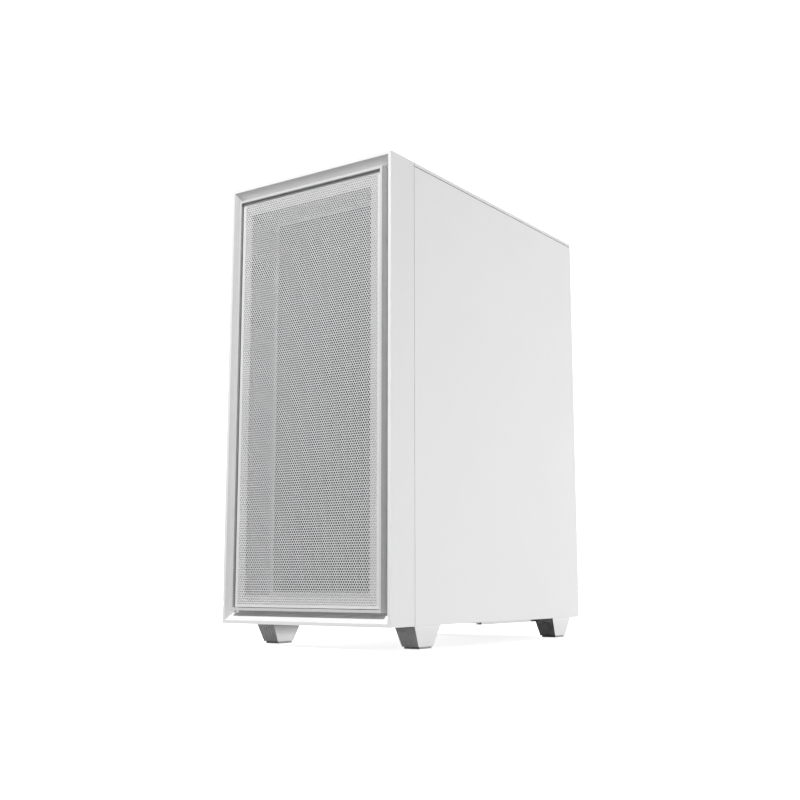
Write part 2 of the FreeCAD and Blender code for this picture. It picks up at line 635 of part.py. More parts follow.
def make_bottom_plate():
    """The chassis's floor: fan opening, power supply pads and the filter's rails."""
    floor = block("floor_sheet", (-seat, seat), (plate_front, rear), (base, floor_top))
    pieces = [floor]
    pad_side = d.pad_height * 6
    for x in (psu_x[0], psu_x[1] - pad_side):
        for y in (psu_y[0], psu_y[1] - pad_side):
            pieces.append(block("support_pad", (x, x + pad_side), (y, y + pad_side),
                                (floor_top, psu_z[0])))
    reach = side - d.rail_inset
    lip = d.rail_width
    rail_y = (rear - d.bottom_filter_tab - d.bottom_filter_length, rear - d.bottom_filter_tab)
    for sign in (-1, 1):
        limits = sorted((reach * sign, (reach - lip) * sign), key=lambda size: size.value)
        low = sorted((reach * sign, (reach - lip * 2) * sign), key=lambda size: size.value)
        pieces.append(block("rail", limits, rail_y, (base - d.rail_height, base)))
        pieces.append(block("rail_lip", low, rail_y,
                            (base - d.rail_height, base - d.rail_height + d.sheet)))
    opening = rod("floor_opening", "z", psu_fan, d.fan_bore, (base, floor_top))
    keep(cut("chassis_bottom_plate", fuse("floor_folded", pieces), [opening]), "chassis_bottom_plate")


vent_x = (d.vent_side - side, side - d.vent_side)
vent_y = (bezel_back + d.vent_front, rear - d.vent_rear)


def make_top_plate():
    """The chassis's top sheet with a row of air slots under the top filter."""
    plate = new_body("chassis_top_plate")
    pad(plate, "sheet_pad", "z", [rect((-seat, seat), (plate_front, rear))],
        (top_plate_low, cover_bottom))
    reach = d.slot_pitch
    slot_y = (vent_y[0] + reach, vent_y[0] + reach + d.slot_width)
    slot = pocket(plate, "air_slot", "z", [rect((vent_x[0] + reach, vent_x[1] - reach), slot_y)],
                  (top_plate_low, cover_bottom))
    room = (vent_y[1] - vent_y[0]).value - 2 * d.slot_pitch.value
    count = int(room / d.slot_pitch.value)
    row_of(plate, "air_slots", slot, "Y_Axis", d.slot_pitch, count)
    io_y = bezel_back + d.io_line
    room = d.button_radius + d.slip
    reach = d.io_board_reach
    lines = rect((-reach, reach), (io_y - room, io_y + room))
    pocket(plate, "control_opening", "z", [lines], (top_plate_low, cover_bottom))


io_line = bezel_back + d.io_line
io_board_top = top_plate_low - d.io_board_drop
# Front sockets: name, place along X, and width and height of the metal shell.
TOP_SOCKETS = [
    ("usb_right", d.usb_right_place, d.usb_top_width, d.usb_top_height),
    ("usb_left", d.usb_left_place, d.usb_top_width, d.usb_top_height),
    ("small", d.small_place, d.small_width, d.small_height),
]
AUDIO_PLACES = (d.headphone_place, d.microphone_place)


def make_top_cover():
    """The moulded top cover with a recess for the filter and holes for the controls."""
    cover = block("cover_plate", (-side, side), (bezel_back + d.panel_gap, rear), (cover_bottom, top))
    span = (cover_bottom, top)
    holes = [block("filter_recess", vent_x, vent_y, span)]
    gap = d.slip
    for name, x, width, height in TOP_SOCKETS:
        holes.append(block(f"{name}_hole", (x - width / 2 - gap, x + width / 2 + gap),
                           (io_line - height / 2 - gap, io_line + height / 2 + gap), span))
    for x in AUDIO_PLACES:
        holes.append(rod("audio_hole", "z", (x, io_line), gap + d.audio_radius, span))
    holes.append(rod("power_hole", "z", (d.power_place, io_line), d.button_radius + gap, span))
    holes.append(rod("reset_hole", "z", (d.reset_place, io_line), d.reset_radius + gap, span))
    keep(cut("top_cover", cover, holes), "top_cover")


def make_button(label, x, radius):
    """A round button: a head level with the cover, on a stem down to the board's switch."""
    button = new_body(label)
    pad(button, f"{label}_head", "z", [disc(x, io_line, radius)], (cover_bottom, top))
    pad(button, f"{label}_stem", "z", [disc(x, io_line, d.button_stem)],
        (io_board_top + d.button_travel_room, cover_bottom))


def make_front_sockets():
    """The board under the top plate, and the sockets that stand on it."""
    reach = d.io_board_reach
    strip = block("socket_board", (-reach, reach), (io_line - d.button_radius, io_line + d.button_radius),
                  (io_board_top - d.board_thickness, io_board_top))
    width = d.board_thickness * 4
    posts = []
    for low in (-reach, reach - width):
        posts.append(block("board_hanger", (low, low + width), (io_line - width, io_line + width),
                           (io_board_top, top_plate_low + d.sheet)))
    switches = []
    for x in (d.power_place, d.reset_place):
        switches.append(rod("switch", "z", (x, io_line), d.button_stem,
                            (io_board_top, io_board_top + d.switch_height)))
    keep(fuse("front_io_board", [strip] + posts + switches), "front_io_board")
    sockets = []
    wall = d.shell_wall
    for name, x, width, height in TOP_SOCKETS:
        shell = block(name, (x - width / 2, x + width / 2), (io_line - height / 2, io_line + height / 2),
                      (io_board_top, top))
        hollow = block(f"{name}_hollow", (x - width / 2 + wall, x + width / 2 - wall),
                       (io_line - height / 2 + wall, io_line + height / 2 - wall),
                       (top - d.port_hollow, top))
        sockets.append(cut(f"{name}_socket", shell, [hollow]))
    for x in AUDIO_PLACES:
        barrel = rod("audio_barrel", "z", (x, io_line), d.audio_radius, (io_board_top, top))
        bore = rod("audio_bore", "z", (x, io_line), d.audio_bore, (top - d.port_hollow, top))
        sockets.append(cut("audio_socket", barrel, [bore]))
    keep(group("front_io_ports", sockets), "front_io_ports")


def make_top_filter():
    """The magnetic filter that lies in the top cover's recess."""
    gap = d.filter_gap
    plate = block("top_filter", (vent_x[0] + gap, vent_x[1] - gap), (vent_y[0] + gap, vent_y[1] - gap),
                  (cover_bottom, cover_bottom + d.top_filter_thickness))
    keep(plate, "top_filter")


first_slot = top_plate_low - d.board_top_gap - d.first_slot_drop
cover_x = (d.cover_left - side, side - d.tray_inset - d.standoff_length - d.board_thickness - d.slot_wall)
recess_x = (d.recess_left - side, cover_x[1] + d.slot_wall / 2)
recess_top = first_slot - d.cover_drop + d.cover_height / 2 + d.slot_wall
recess_z = (recess_top - d.recess_height, recess_top)
recess_back = rear - d.recess_depth
tab_y = (recess_back - d.sheet, recess_back - d.sheet + d.tab_length)
SLOT_COUNT = 7
CARD_SLOTS = 2


def slot_centre(index):
    """Height of the middle of one expansion window, counted from the top."""
    return first_slot - d.cover_drop - d.expansion_pitch * index


board_x = (side - d.tray_inset - d.standoff_length - d.board_thickness,
           side - d.tray_inset - d.standoff_length)
board_face = board_x[0]
board_z = (top_plate_low - d.board_top_gap - d.board_height, top_plate_low - d.board_top_gap)
board_y = (rear - d.board_rear_gap - d.board_width, rear - d.board_rear_gap)
io_x = (board_face - d.io_width + d.board_thickness, board_face + d.board_thickness)
io_z = (board_z[1] - d.board_thickness - d.io_height, board_z[1] - d.board_thickness)


def make_rear_plate():
    """The chassis's rear: openings for the fan, sockets and power supply, and the slot recess."""
    plate = block("rear_sheet", (-seat, seat), (inner_rear, rear), (floor_top, top_plate_low))
    flanges = side_flanges("rear_flange", (rear - d.return_flange, inner_rear))
    through = (inner_rear, rear)
    border = d.psu_border
    holes = [
        rod("rear_fan_opening", "y", (rear_fan_x, rear_fan_z), d.fan_bore, through),
        block("socket_opening", io_x, through, io_z),
        block("psu_opening", (psu_x[0] + border, psu_x[1] - border), through,
              (psu_z[0] + border, psu_z[1] - border)),
        block("recess_opening", recess_x, through, recess_z),
    ]
    holes += flange_holes("rear_stud_hole", stud_lines[1])
    flat = cut("rear_flat", fuse("rear_folded", [plate] + flanges), holes)
    wall = d.sheet
    box = block("recess_box", (recess_x[0] - wall, recess_x[1] + wall), (recess_back - wall, inner_rear),
                (recess_z[0] - wall, recess_z[1] + wall))
    room = block("recess_room", recess_x, (recess_back, inner_rear), recess_z)
    windows = []
    ledge = cover_x[0] + wall
    for index in range(SLOT_COUNT):
        z = (slot_centre(index) - d.window_height / 2, slot_centre(index) + d.window_height / 2)
        windows.append(block("window", (ledge + wall, cover_x[1] - wall),
                             (recess_back - wall, recess_back), z))
    tabs_low = slot_centre(SLOT_COUNT - 1) - d.cover_height / 2 - d.slip
    tabs_high = slot_centre(0) + d.cover_height / 2 + d.slip
    tab_gate = block("tab_gate", (cover_x[0] - wall - d.slip * 2, cover_x[0]),
                     (recess_back - wall, recess_back), (tabs_low, tabs_high))
    recess = cut("recess_shell", box, [room] + windows + [tab_gate])
    rail = block("tab_rail", (cover_x[0], ledge), (recess_back - wall, tab_y[1]), recess_z)
    bores = []
    for index in range(SLOT_COUNT):
        bores.append(rod("screw_bore", "x", (tab_y[1] - d.screw_head, slot_centre(index)),
                         d.screw_radius + d.screw_clearance, (cover_x[0], ledge)))
    folded = [flat, recess, cut("bored_rail", rail, bores)]
    keep(fuse("chassis_rear_plate", folded), "chassis_rear_plate")


def slot_cover(name, low, high, screw_heights):
    """A bracket with its end bent to the rear, and screw holes in the bent tab."""
    blade = block(name, (cover_x[0], cover_x[1]), (recess_back - d.sheet * 2, recess_back - d.sheet),
                  (low, high))
    tab = block(f"{name}_tab", (cover_x[0] - d.sheet, cover_x[0]),
                (recess_back - d.sheet * 2, tab_y[1]), (low, high))
    holes = [rod(f"{name}_bore", "x", (tab_y[1] - d.screw_head, z), d.screw_radius + d.screw_clearance,
                 (cover_x[0] - d.sheet, cover_x[0])) for z in screw_heights]
    return cut(f"{name}_bent", fuse(f"{name}_blank", [blade, tab]), holes)


def make_slot_covers():
    """Covers for the free expansion windows, and the screws of all of them."""
    half = d.cover_height / 2
    covers = []
    screws = []
    for index in range(SLOT_COUNT):
        z = slot_centre(index)
        if index >= CARD_SLOTS:
            covers.append(slot_cover("cover", z - half, z + half, [z]))
        y = tab_y[1] - d.screw_head
        under = cover_x[0] - d.sheet
        head = rod("screw_head", "x", (y, z), d.screw_head, (under - d.screw_head_depth, under))
        shank = rod("screw_shank", "x", (y, z), d.screw_radius, (under, under + d.screw_length))
        screws.append(fuse("screw", [head, shank]))
    keep(group("expansion_slot_covers", covers), "expansion_slot_covers")
    keep(group("slot_cover_screws", screws), "slot_cover_screws")


def side_panel(label, skin, flange, studs_x):
    """A folded steel pan with studs that snap into the chassis's flanges."""
    y = (bezel_back + d.panel_gap, rear)
    z = (base + d.slip, cover_bottom - d.seam)
    pan = block(f"{label}_pan", flange, y, z)
    wall = d.sheet
    inside = (as_size(skin[0]), as_size(skin[1]))
    room = block(f"{label}_room", inside, (y[0] + wall, y[1] - wall), (z[0] + wall, z[1] - wall))
    shell = cut(f"{label}_shell", pan, [room])
    studs = [rod(f"{label}_stud", "x", (line, height), d.stud_radius, studs_x)
             for line in stud_lines for height in stud_rows]
    return shell, studs


def make_side_panels():
    """The plain steel panel on the right, and the glass one in a steel frame on the left."""
    shell, studs = side_panel("right", (seat, side - d.sheet), (seat, side),
                              (side - d.stud_reach, side - d.sheet))
    keep(fuse("right_side_panel", [shell] + studs), "right_side_panel")
    glass_in = d.glass_thickness - side
    shell, studs = side_panel("left", (d.sheet - side + d.glass_thickness, -seat), (glass_in, -seat),
                              (glass_in + d.sheet, d.stud_reach - side))
    band = d.frame_band
    window = block("left_window", (glass_in, glass_in + d.sheet),
                   (bezel_back + d.panel_gap + band, rear - band),
                   (base + d.slip + band, cover_bottom - d.seam - band))
    keep(cut("left_panel_frame", fuse("left_frame_blank", [shell] + studs), [window]), "left_panel_frame")
    glass = block("left_panel_glass", (-side, glass_in), (bezel_back + d.panel_gap, rear),
                  (base + d.slip, cover_bottom - d.seam))
    keep(glass, "left_panel_glass")


foot_y = {"front": plate_front, "rear": rear - d.foot_rear_gap - d.foot_length}
FLUTES = 5


def make_feet():
    """Four leaning feet with grooves down their fronts, and the pads under them."""
    pads = []
    slope = d.foot_slope / (d.foot_height - d.pad_height)
    taper = d.foot_taper
    for end, low_y in foot_y.items():
        for hand, sign in (("left", -1), ("right", 1)):
            foot = new_body(f"foot_{end}_{hand}")
            outer = (side - d.foot_inset) * sign
            inner = (side - d.foot_inset - d.foot_width) * sign
            x = sorted((outer, inner), key=lambda size: size.value)
            high_y = low_y + d.foot_length
            lean = d.foot_slope
            sole = rect((x[0] + taper, x[1] - taper), (low_y + lean, high_y - lean))
            solid = foot.newObject("PartDesign::AdditiveLoft", f"foot_{end}_{hand}_block")
            solid.Profile = outline(foot, f"foot_{end}_{hand}_sole", "z", d.pad_height, [sole])
            crown = rect(x, (low_y, high_y))
            solid.Sections = [outline(foot, f"foot_{end}_{hand}_crown", "z", base, [crown])]
            solid.Ruled = True
            flute_top = base - d.flute_band
            start = low_y + slope * d.flute_band
            groove = [(start - d.flute_depth, flute_top), (start + d.flute_depth, flute_top),
                      (low_y + lean + d.flute_depth, d.pad_height - d.sheet),
                      (low_y + lean - d.flute_depth, d.pad_height - d.sheet)]
            pitch = (d.foot_width - taper * 2) / (FLUTES + 1)
            first = x[0] + taper + pitch - d.flute_width / 2
            flute = pocket(foot, f"foot_{end}_{hand}_flute", "x", [groove], (first, first + d.flute_width))
            row_of(foot, f"foot_{end}_{hand}_flutes", flute, "X_Axis", pitch, FLUTES)
            inset = taper + d.sheet
            pads.append(block("sole_pad", (x[0] + inset, x[1] - inset),
                              (low_y + lean + d.flute_depth + d.sheet, high_y - lean - d.sheet),
                              (ZERO, d.pad_height)))
    keep(group("foot_pads", pads), "foot_pads")


def make_fan_frame(label, place, rotation):
    """A square fan frame; its struts and bearing plate are at local Z = 0."""
    frame = new_body(label)
    half = d.fan_side / 2
    hole = half - d.fan_screw_inset
    pad(frame, f"{label}_square", "z", [rect((-half, half), (-half, half))], (ZERO, d.fan_depth))
    corners = [disc(hole * i, hole * j, d.fan_screw) for i in (-1, 1) for j in (-1, 1)]
    pocket(frame, f"{label}_air", "z", [disc(0, 0, d.fan_bore)] + corners, (ZERO, d.fan_depth))
    add_bearing(frame, label, d.fan_bore, ZERO)
    place_body(frame, place, rotation)


def add_bearing(owner, label, reach, level, centre=(ZERO, ZERO)):
    """A round plate on four struts, with a blind bore for a fan's shaft."""
    x, y = centre
    arm = d.strut_width / 2
    long = reach + d.sheet / 2
    high = level + d.fan_mount_depth
    thick = (level, high - d.sheet)
    pad(owner, f"{label}_strut_x", "z", [rect((x - long, x + long), (y - arm, y + arm))], thick)
    pad(owner, f"{label}_strut_y", "z", [rect((x - arm, x + arm), (y - long, y + long))], thick)
    pad(owner, f"{label}_mount", "z", [disc(x, y, d.fan_mount)], (level, high))
    bore = d.shaft_radius + d.shaft_clearance
    pocket(owner, f"{label}_bore", "z", [disc(x, y, bore)], (high - d.shaft_length - d.sheet / 2, high))


BLADES = 9
BLADE_PITCH = 38.0
# A blade starts inside the hub and ends short of the tip circle, as shares of their radii.
BLADE_ROOT = 0.6
BLADE_END = 0.95


def make_rotor(label, hub, tip, depth, chord, place, rotation):
    """A hub with leaning blades and a shaft; local Z points to the intake side."""
    rotor = new_body(label)
    low = d.fan_mount_depth + d.sheet
    high = depth - d.sheet
    pad(rotor, f"{label}_hub", "z", [disc(0, 0, hub)], (low, high))
    pad(rotor, f"{label}_shaft", "z", [disc(0, 0, d.shaft_radius)], (d.fan_mount_depth - d.shaft_length, low))
    rise = (high - low) - d.sheet * 2
    z0 = low + d.sheet
    z1 = z0 + rise
    y0 = -(chord / 2)
    y1 = chord / 2
    thick = d.blade_thickness * (1 / math.sin(math.radians(BLADE_PITCH)))
    leaf = [(y0, z0), (y0 + thick, z0), (y1, z1), (y1 - thick, z1)]
    blade = pad(rotor, f"{label}_blade", "x", [leaf], (hub * BLADE_ROOT, tip * BLADE_END))
    ring_of = rotor.newObject("PartDesign::PolarPattern", f"{label}_blades")
    ring_of.Originals = [blade]
    ring_of.Axis = ([f for f in rotor.Origin.OriginFeatures if f.Role == "Z_Axis"][0], [""])
    ring_of.Angle = 360
    ring_of.Occurrences = BLADES
    rotor.Tip = ring_of
    place_body(rotor, place, rotation)


TO_FRONT = FreeCAD.Rotation(FreeCAD.Vector(1, 0, 0), 90)
TO_FLOOR = FreeCAD.Rotation(FreeCAD.Vector(1, 0, 0), 180)
cooler_y = board_y[1] - d.socket_rear
cooler_z = board_z[1] - d.socket_top
processor_top = board_face - d.socket_height
fins_high = processor_top - d.cooler_base - d.cooler_neck
FIN_COUNT = 24
PIPES = 4
fins_low = fins_high - d.fin_pitch * (FIN_COUNT - 1) - d.fin_thickness
fins_front = cooler_y - d.fin_depth / 2


def make_case_fans():
    """Three fans behind the front plate, one at the rear, one on the cooler."""
    places = {f"front_fan_{{}}_{name}": (ZERO, front_fan_back, z) for name, z in front_fans.items()}
    places["rear_fan_{}"] = (rear_fan_x, inner_rear, rear_fan_z)
    places["cooler_fan_{}"] = ((fins_low + fins_high) / 2, fins_front, cooler_z)
    for name, place in places.items():
        make_fan_frame(name.format("frame"), place, TO_FRONT)
        make_rotor(name.format("rotor"), d.fan_hub, d.fan_tip, d.fan_depth, d.blade_chord, place, TO_FRONT)


tray_x = (side - d.tray_inset, side - d.tray_inset + d.sheet)
shroud_top = base + d.shroud_height
shroud_front = front_fan_back + d.shroud_front_gap
cable_z = {"main": board_z[1] - d.plug_drop, "card": slot_centre(0) - d.card_shroud / 2}
cable_y = board_y[0] - d.cable_run
# The tray's window behind the processor, as a multiple of the processor's side.
TRAY_WINDOW = 2.4
LID_SLOTS = 6


def make_tray():
    """The sheet that carries the motherboard, with holes for the cables."""
    tray = block("tray_sheet", tray_x, (plate_back, inner_rear), (shroud_top, top_plate_low))
    room = d.socket_side * TRAY_WINDOW / 2
    holes = [block("cooler_window", tray_x, (cooler_y - room, cooler_y + room),
                   (cooler_z - room, cooler_z + room))]
    gap = d.cable_radius + d.grommet_gap
    for z in cable_z.values():
        holes.append(block("cable_hole", tray_x, (cable_y - gap, cable_y + gap), (z - gap * 3, z + gap * 3)))
    keep(cut("motherboard_tray", tray, holes), "motherboard_tray")


def make_shroud():
    """The cover over the power supply and drives: a top and the side behind the glass."""
    lid = block("shroud_lid", (-seat + d.sheet, tray_x[1]), (shroud_front, inner_rear),
                (shroud_top - d.sheet, shroud_top))
    cheek = block("shroud_cheek", (-seat + d.sheet, -seat + d.sheet * 2),
                  (shroud_front, rear - d.return_flange), (floor_top, shroud_top))
    slots = []
    for index in range(LID_SLOTS):
        y = shroud_front + d.lid_slots_front + d.slot_pitch * index
        slots.append(block("shroud_slot", (-d.lid_slots_left, d.lid_slots_right),
                           (y, y + d.slot_width / 2), (shroud_top - d.sheet, shroud_top)))
    keep(cut("psu_shroud", fuse("shroud_folded", [lid, cheek]), slots), "psu_shroud")


cage_y = (shroud_front + d.cage_front_gap, shroud_front + d.cage_front_gap + d.cage_length)
cage_x = (tray_x[0] - d.cage_width, tray_x[0])
cage_top = floor_top + d.cage_height


def make_drives():
    """The drive cage with one hard drive on its rails, and a solid state drive on the cover."""
    outer = block("cage_box", cage_x, cage_y, (floor_top, cage_top))
    wall = d.sheet
    room = block("cage_room", cage_x, (cage_y[0] + wall, cage_y[1] - wall),
                 (floor_top + wall, cage_top - wall))
    rails = []
    rail = (cage_y[1] - cage_y[0] - wall * 2 - d.drive_width) / 2
    shelf = floor_top + wall + d.drive_rail
    for low in (cage_y[0] + wall, cage_y[1] - wall - rail - d.drive_rail):
        rails.append(block("cage_rail", cage_x, (low, low + rail + d.drive_rail),
                           (floor_top + wall, shelf)))
    keep(fuse("drive_cage", [cut("cage_shell", outer, [room])] + rails), "drive_cage")
    drive_y = (cage_y[0] + wall + rail, cage_y[0] + wall + rail + d.drive_width)
    keep(block("hard_drive", (cage_x[1] - d.drive_length, cage_x[1]), drive_y,
               (shelf, shelf + d.drive_height)), "hard_drive")
    low = d.ssd_left - side
    low_y = shroud_front + d.ssd_front
    keep(block("solid_state_drive", (low, low + d.ssd_length), (low_y, low_y + d.ssd_width),
               (shroud_top, shroud_top + d.ssd_height)), "solid_state_drive")


module_z = (cooler_z - d.module_length / 2, cooler_z + d.module_length / 2)
MODULE_SLOTS = 4
FILLED_SLOTS = (1, 3)
CARD_SLOT_ROWS = (0, 2, 4)


def module_y(index):
    """Place of one memory slot, counted from the processor."""
    return board_y[1] - d.module_rear + d.module_pitch * ((MODULE_SLOTS - 1) / 2 - index)


def make_motherboard():
    """The board on its standoffs, with its processor socket, slots and metal coolers."""
    keep(block("motherboard", board_x, board_y, board_z), "motherboard")
    posts = []
    inset = d.standoff_radius * 2
    for y in (board_y[0] + inset, (board_y[0] + board_y[1]) / 2, board_y[1] - inset):
        for z in (board_z[0] + inset, first_slot + inset * 2, board_z[1] - inset):
            posts.append(rod("standoff", "x", (y, z), d.standoff_radius, (board_x[1], tray_x[0])))
    keep(group("motherboard_standoffs", posts), "motherboard_standoffs")
    half = d.socket_side / 2
    keep(block("processor_socket", (processor_top, board_face), (cooler_y - half, cooler_y + half),
               (cooler_z - half, cooler_z + half)), "processor_socket")
    sockets = []
    for index in range(MODULE_SLOTS):
        y = module_y(index)
        half = d.module_slot_width / 2
        shell = block("memory_slot", (board_face - d.module_slot_height, board_face),
                      (y - half, y + half), module_z)
        half = d.slot_groove / 2
        groove = block("memory_groove", (board_face - d.module_slot_height, board_face - d.slot_wall),
                       (y - half, y + half), module_z)
        sockets.append(cut("memory_socket", shell, [groove]))
    slot_y = (board_y[1] - d.card_slot_rear - d.card_slot_length, board_y[1] - d.card_slot_rear)
    for index in CARD_SLOT_ROWS:
        z = first_slot - d.expansion_pitch * index
        half = d.card_slot_width / 2
        shell = block("card_slot", (board_face - d.card_slot_height, board_face), slot_y,
                      (z - half, z + half))
        half = d.slot_groove / 2
        groove = block("card_groove", (board_face - d.card_slot_height, board_face - d.slot_wall), slot_y,
                       (z - half, z + half))
        sockets.append(cut("card_socket", shell, [groove]))
    half = d.plug_length / 2
    sockets.append(block("power_socket", (board_face - d.plug_height, board_face),
                         (board_y[0], board_y[0] + d.plug_width),
                         (cable_z["main"] - half, cable_z["main"] + half)))
    keep(group("motherboard_slots", sockets), "motherboard_slots")


def make_memory():
    """Two memory modules, each a board in its slot inside a metal spreader."""
    modules = []
    for index in FILLED_SLOTS:
        y = module_y(index)
        half = d.module_thickness / 2
        foot = board_face - d.slot_wall
        spreader = block("spreader", (foot - d.module_height, board_face - d.module_slot_height),
                         (y - half, y + half), module_z)
        half = d.board_thickness / 2
        card = block("module_board", (board_face - d.module_slot_height, foot), (y - half, y + half),
                     module_z)
        modules.append(fuse("module", [spreader, card]))
    keep(group("memory_modules", modules), "memory_modules")


def make_board_coolers():
    """Ribbed metal blocks beside the processor and on the chipset."""
    coolers = []
    rear_low = board_y[1] - d.port_depth * 2
    rear_z = cooler_z - d.rear_cooler_drop
    top_y = cooler_y - d.top_cooler_front
    top_z = board_z[1] - d.top_cooler_edge - d.top_cooler_width
    chipset_y = board_y[0] + d.chipset_front
    chipset_z = board_z[0] + d.chipset_low
    side_length = d.chipset_side
    places = [
        (rear_low, d.rear_cooler_width, rear_z, d.rear_cooler_length, d.rear_cooler_height),
        (top_y, d.top_cooler_length, top_z, d.top_cooler_width, d.top_cooler_height),
        (chipset_y, side_length, chipset_z, side_length, d.chipset_height),
    ]
    for y, length, z, width, height in places:
        coolers.append(block("board_cooler", (board_face - height, board_face), (y, y + length),
                             (z, z + width)))
    keep(group("motherboard_heatsinks", coolers), "motherboard_heatsinks")


# Rear sockets: name, middle below the opening's top, width, height, the size of each hollow and
# the number of hollows.
REAR_SOCKETS = [
    ("usb_pair", d.usb_pair_drop, d.usb_width, d.usb_pair_height,
     d.usb_hollow_width, d.usb_hollow_height, 2),
    ("video_pair", d.video_drop, d.video_width, d.video_height,
     d.video_hollow_width, d.video_hollow_height, 2),
    ("upper_usb_stack", d.upper_stack_drop, d.usb_width, d.usb_stack_height,
     d.usb_hollow_width, d.usb_hollow_height, 2),
    ("network", d.network_drop, d.network_width, d.network_height,
     d.network_hollow_width, d.network_hollow_height, 1),
    ("lower_usb_stack", d.lower_stack_drop, d.usb_width, d.usb_stack_height,
     d.usb_hollow_width, d.usb_hollow_height, 2),
]
JACK_ROWS = 2
JACK_LINES = 3


def make_rear_sockets():
    """The sockets at the board's rear edge, and the plate that they look through."""
    border = d.io_border
    shield_y = (inner_rear - d.sheet, inner_rear)
    plate = block("shield_plate", (io_x[0] - border, board_face), shield_y,
                  (io_z[0] - border, io_z[1] + border))
    holes = []
    sockets = []
    socket_y = (rear - d.port_depth, rear)
    gap = d.port_gap
    for name, drop, width, height, wide, high, count in REAR_SOCKETS:
        middle = io_z[1] - drop
        z = (middle - width / 2, middle + width / 2)
        holes.append(block(f"{name}_hole", (board_face - height - gap, board_face), shield_y,
                           (z[0] - gap, z[1] + gap)))
        shell = block(name, (board_face - height, board_face), socket_y, z)
        hollows = []
        for row in range(count):
            low = board_face - height + d.port_wall + height * row / count
            hollows.append(block(f"{name}_hollow", (low, low + high), (rear - d.port_hollow, rear),
                                 (middle - wide / 2, middle + wide / 2)))
        sockets.append(cut(f"{name}_shell", shell, hollows))
    jack_end = rear + d.rear_reach
    for row in range(JACK_ROWS):
        for line in range(JACK_LINES):
            centre = (board_face - d.jack_rise - d.jack_pitch * line,
                      io_z[1] - d.jack_drop - d.jack_pitch * row)
            holes.append(rod("jack_hole", "y", centre, d.jack_radius + gap, shield_y))
            barrel = rod("jack_barrel", "y", centre, d.jack_radius, (rear - d.port_depth, jack_end))
            bore = rod("jack_bore", "y", centre, d.jack_bore, (jack_end - d.port_hollow, jack_end))
            sockets.append(cut("jack", barrel, [bore]))
    jacks_top = io_z[1] - d.jack_drop + d.jack_margin
    jacks_low = io_z[1] - d.jack_drop - d.jack_pitch * (JACK_ROWS - 1) - d.jack_margin
    block_x = (board_face - d.io_width + d.board_thickness * 2, board_face)
    sockets.append(block("jack_block", block_x,
                         (rear - d.port_depth - d.jack_margin, rear - d.port_depth),
                         (jacks_low, jacks_top)))
    keep(cut("rear_io_shield", plate, holes), "rear_io_shield")
    keep(group("rear_io_ports", sockets), "rear_io_ports")


def make_cooler():
    """The processor's cooler: a base, heat pipes and a stack of fins."""
    cooler = new_body("cooler_heatsink")
    half = d.socket_side / 2
    foot = rect((cooler_y - half, cooler_y + half), (cooler_z - half, cooler_z + half))
    pad(cooler, "cooler_foot", "x", [foot], (processor_top - d.cooler_base, processor_top))
    first = cooler_y - d.pipe_pitch * (PIPES - 1) / 2
    pipes = [disc(first + d.pipe_pitch * index, cooler_z, d.pipe_radius) for index in range(PIPES)]
    pad(cooler, "heat_pipes", "x", pipes, (fins_low, processor_top - d.cooler_base))
    half = d.fin_side / 2
    fin_face = rect((fins_front, fins_front + d.fin_depth), (cooler_z - half, cooler_z + half))
    fin = pad(cooler, "fin", "x", [fin_face], (fins_low, fins_low + d.fin_thickness))
    row_of(cooler, "fins", fin, "X_Axis", d.fin_pitch, FIN_COUNT)


card_y = (recess_back - d.sheet * 2 - d.card_length, recess_back - d.sheet * 2)
card_x = (board_face - d.slot_wall - d.card_height, board_face - d.slot_wall)
card_low = first_slot - d.board_thickness / 2
shroud_z = (card_low - d.card_gap - d.card_shroud, card_low - d.card_gap)
card_shroud_x = (card_x[0], board_face - d.card_slot_height - d.card_gap)
card_middle = (card_shroud_x[0] + card_shroud_x[1]) / 2
card_fans = {
    "front": (card_y[0] + card_y[1]) / 2 - d.card_fan_pitch / 2,
    "rear": (card_y[0] + card_y[1]) / 2 + d.card_fan_pitch / 2,
}
card_fan_top = shroud_z[0] + d.card_fan_depth


def make_graphics_card():
    """The graphics card: its board, bracket, cooler shroud and two fans."""
    slot_rear = board_y[1] - d.card_slot_rear
    slot_y = (slot_rear - d.card_slot_length + d.slip, slot_rear - d.slip)
    level = (card_low, card_low + d.board_thickness)
    body_x = (card_x[0], board_face - d.card_slot_height - d.card_gap)
    card = block("card_sheet", body_x, card_y, level)
    tongue = block("card_tongue", (body_x[1], card_x[1]), slot_y, level)
    posts = [rod("card_post", "z", (card_middle, y), d.card_post, (shroud_z[1], card_low))
             for y in (card_y[0] + d.card_post_inset, card_y[1] - d.card_post_inset)]
    keep(fuse("graphics_card_board", [card, tongue] + posts), "graphics_card_board")
    half = d.cover_height / 2
    screw_rows = [slot_centre(index) for index in range(CARD_SLOTS)]
    keep(slot_cover("card_bracket", slot_centre(CARD_SLOTS - 1) - half, slot_centre(0) + half, screw_rows),
         "graphics_card_bracket")
    shroud = new_body("graphics_card_shroud")
    pad(shroud, "card_case", "z", [rect(card_shroud_x, card_y)], shroud_z)
    bores = [disc(card_middle, y, d.card_fan_bore) for y in card_fans.values()]
    pocket(shroud, "card_wells", "z", bores, (shroud_z[0], card_fan_top))
    bore = d.shaft_radius + d.shaft_clearance
    shafts = [disc(card_middle, y, bore) for y in card_fans.values()]
    pocket(shroud, "card_bores", "z", shafts, (card_fan_top, card_fan_top + d.shaft_length + d.sheet / 2))
    for name, y in card_fans.items():
        place = (card_middle, y, card_fan_top + d.fan_mount_depth)
        make_rotor(f"graphics_fan_rotor_{name}", d.card_fan_hub, d.card_fan_tip,
                   d.card_fan_depth + d.fan_mount_depth, d.card_fan_chord, place, TO_FLOOR)


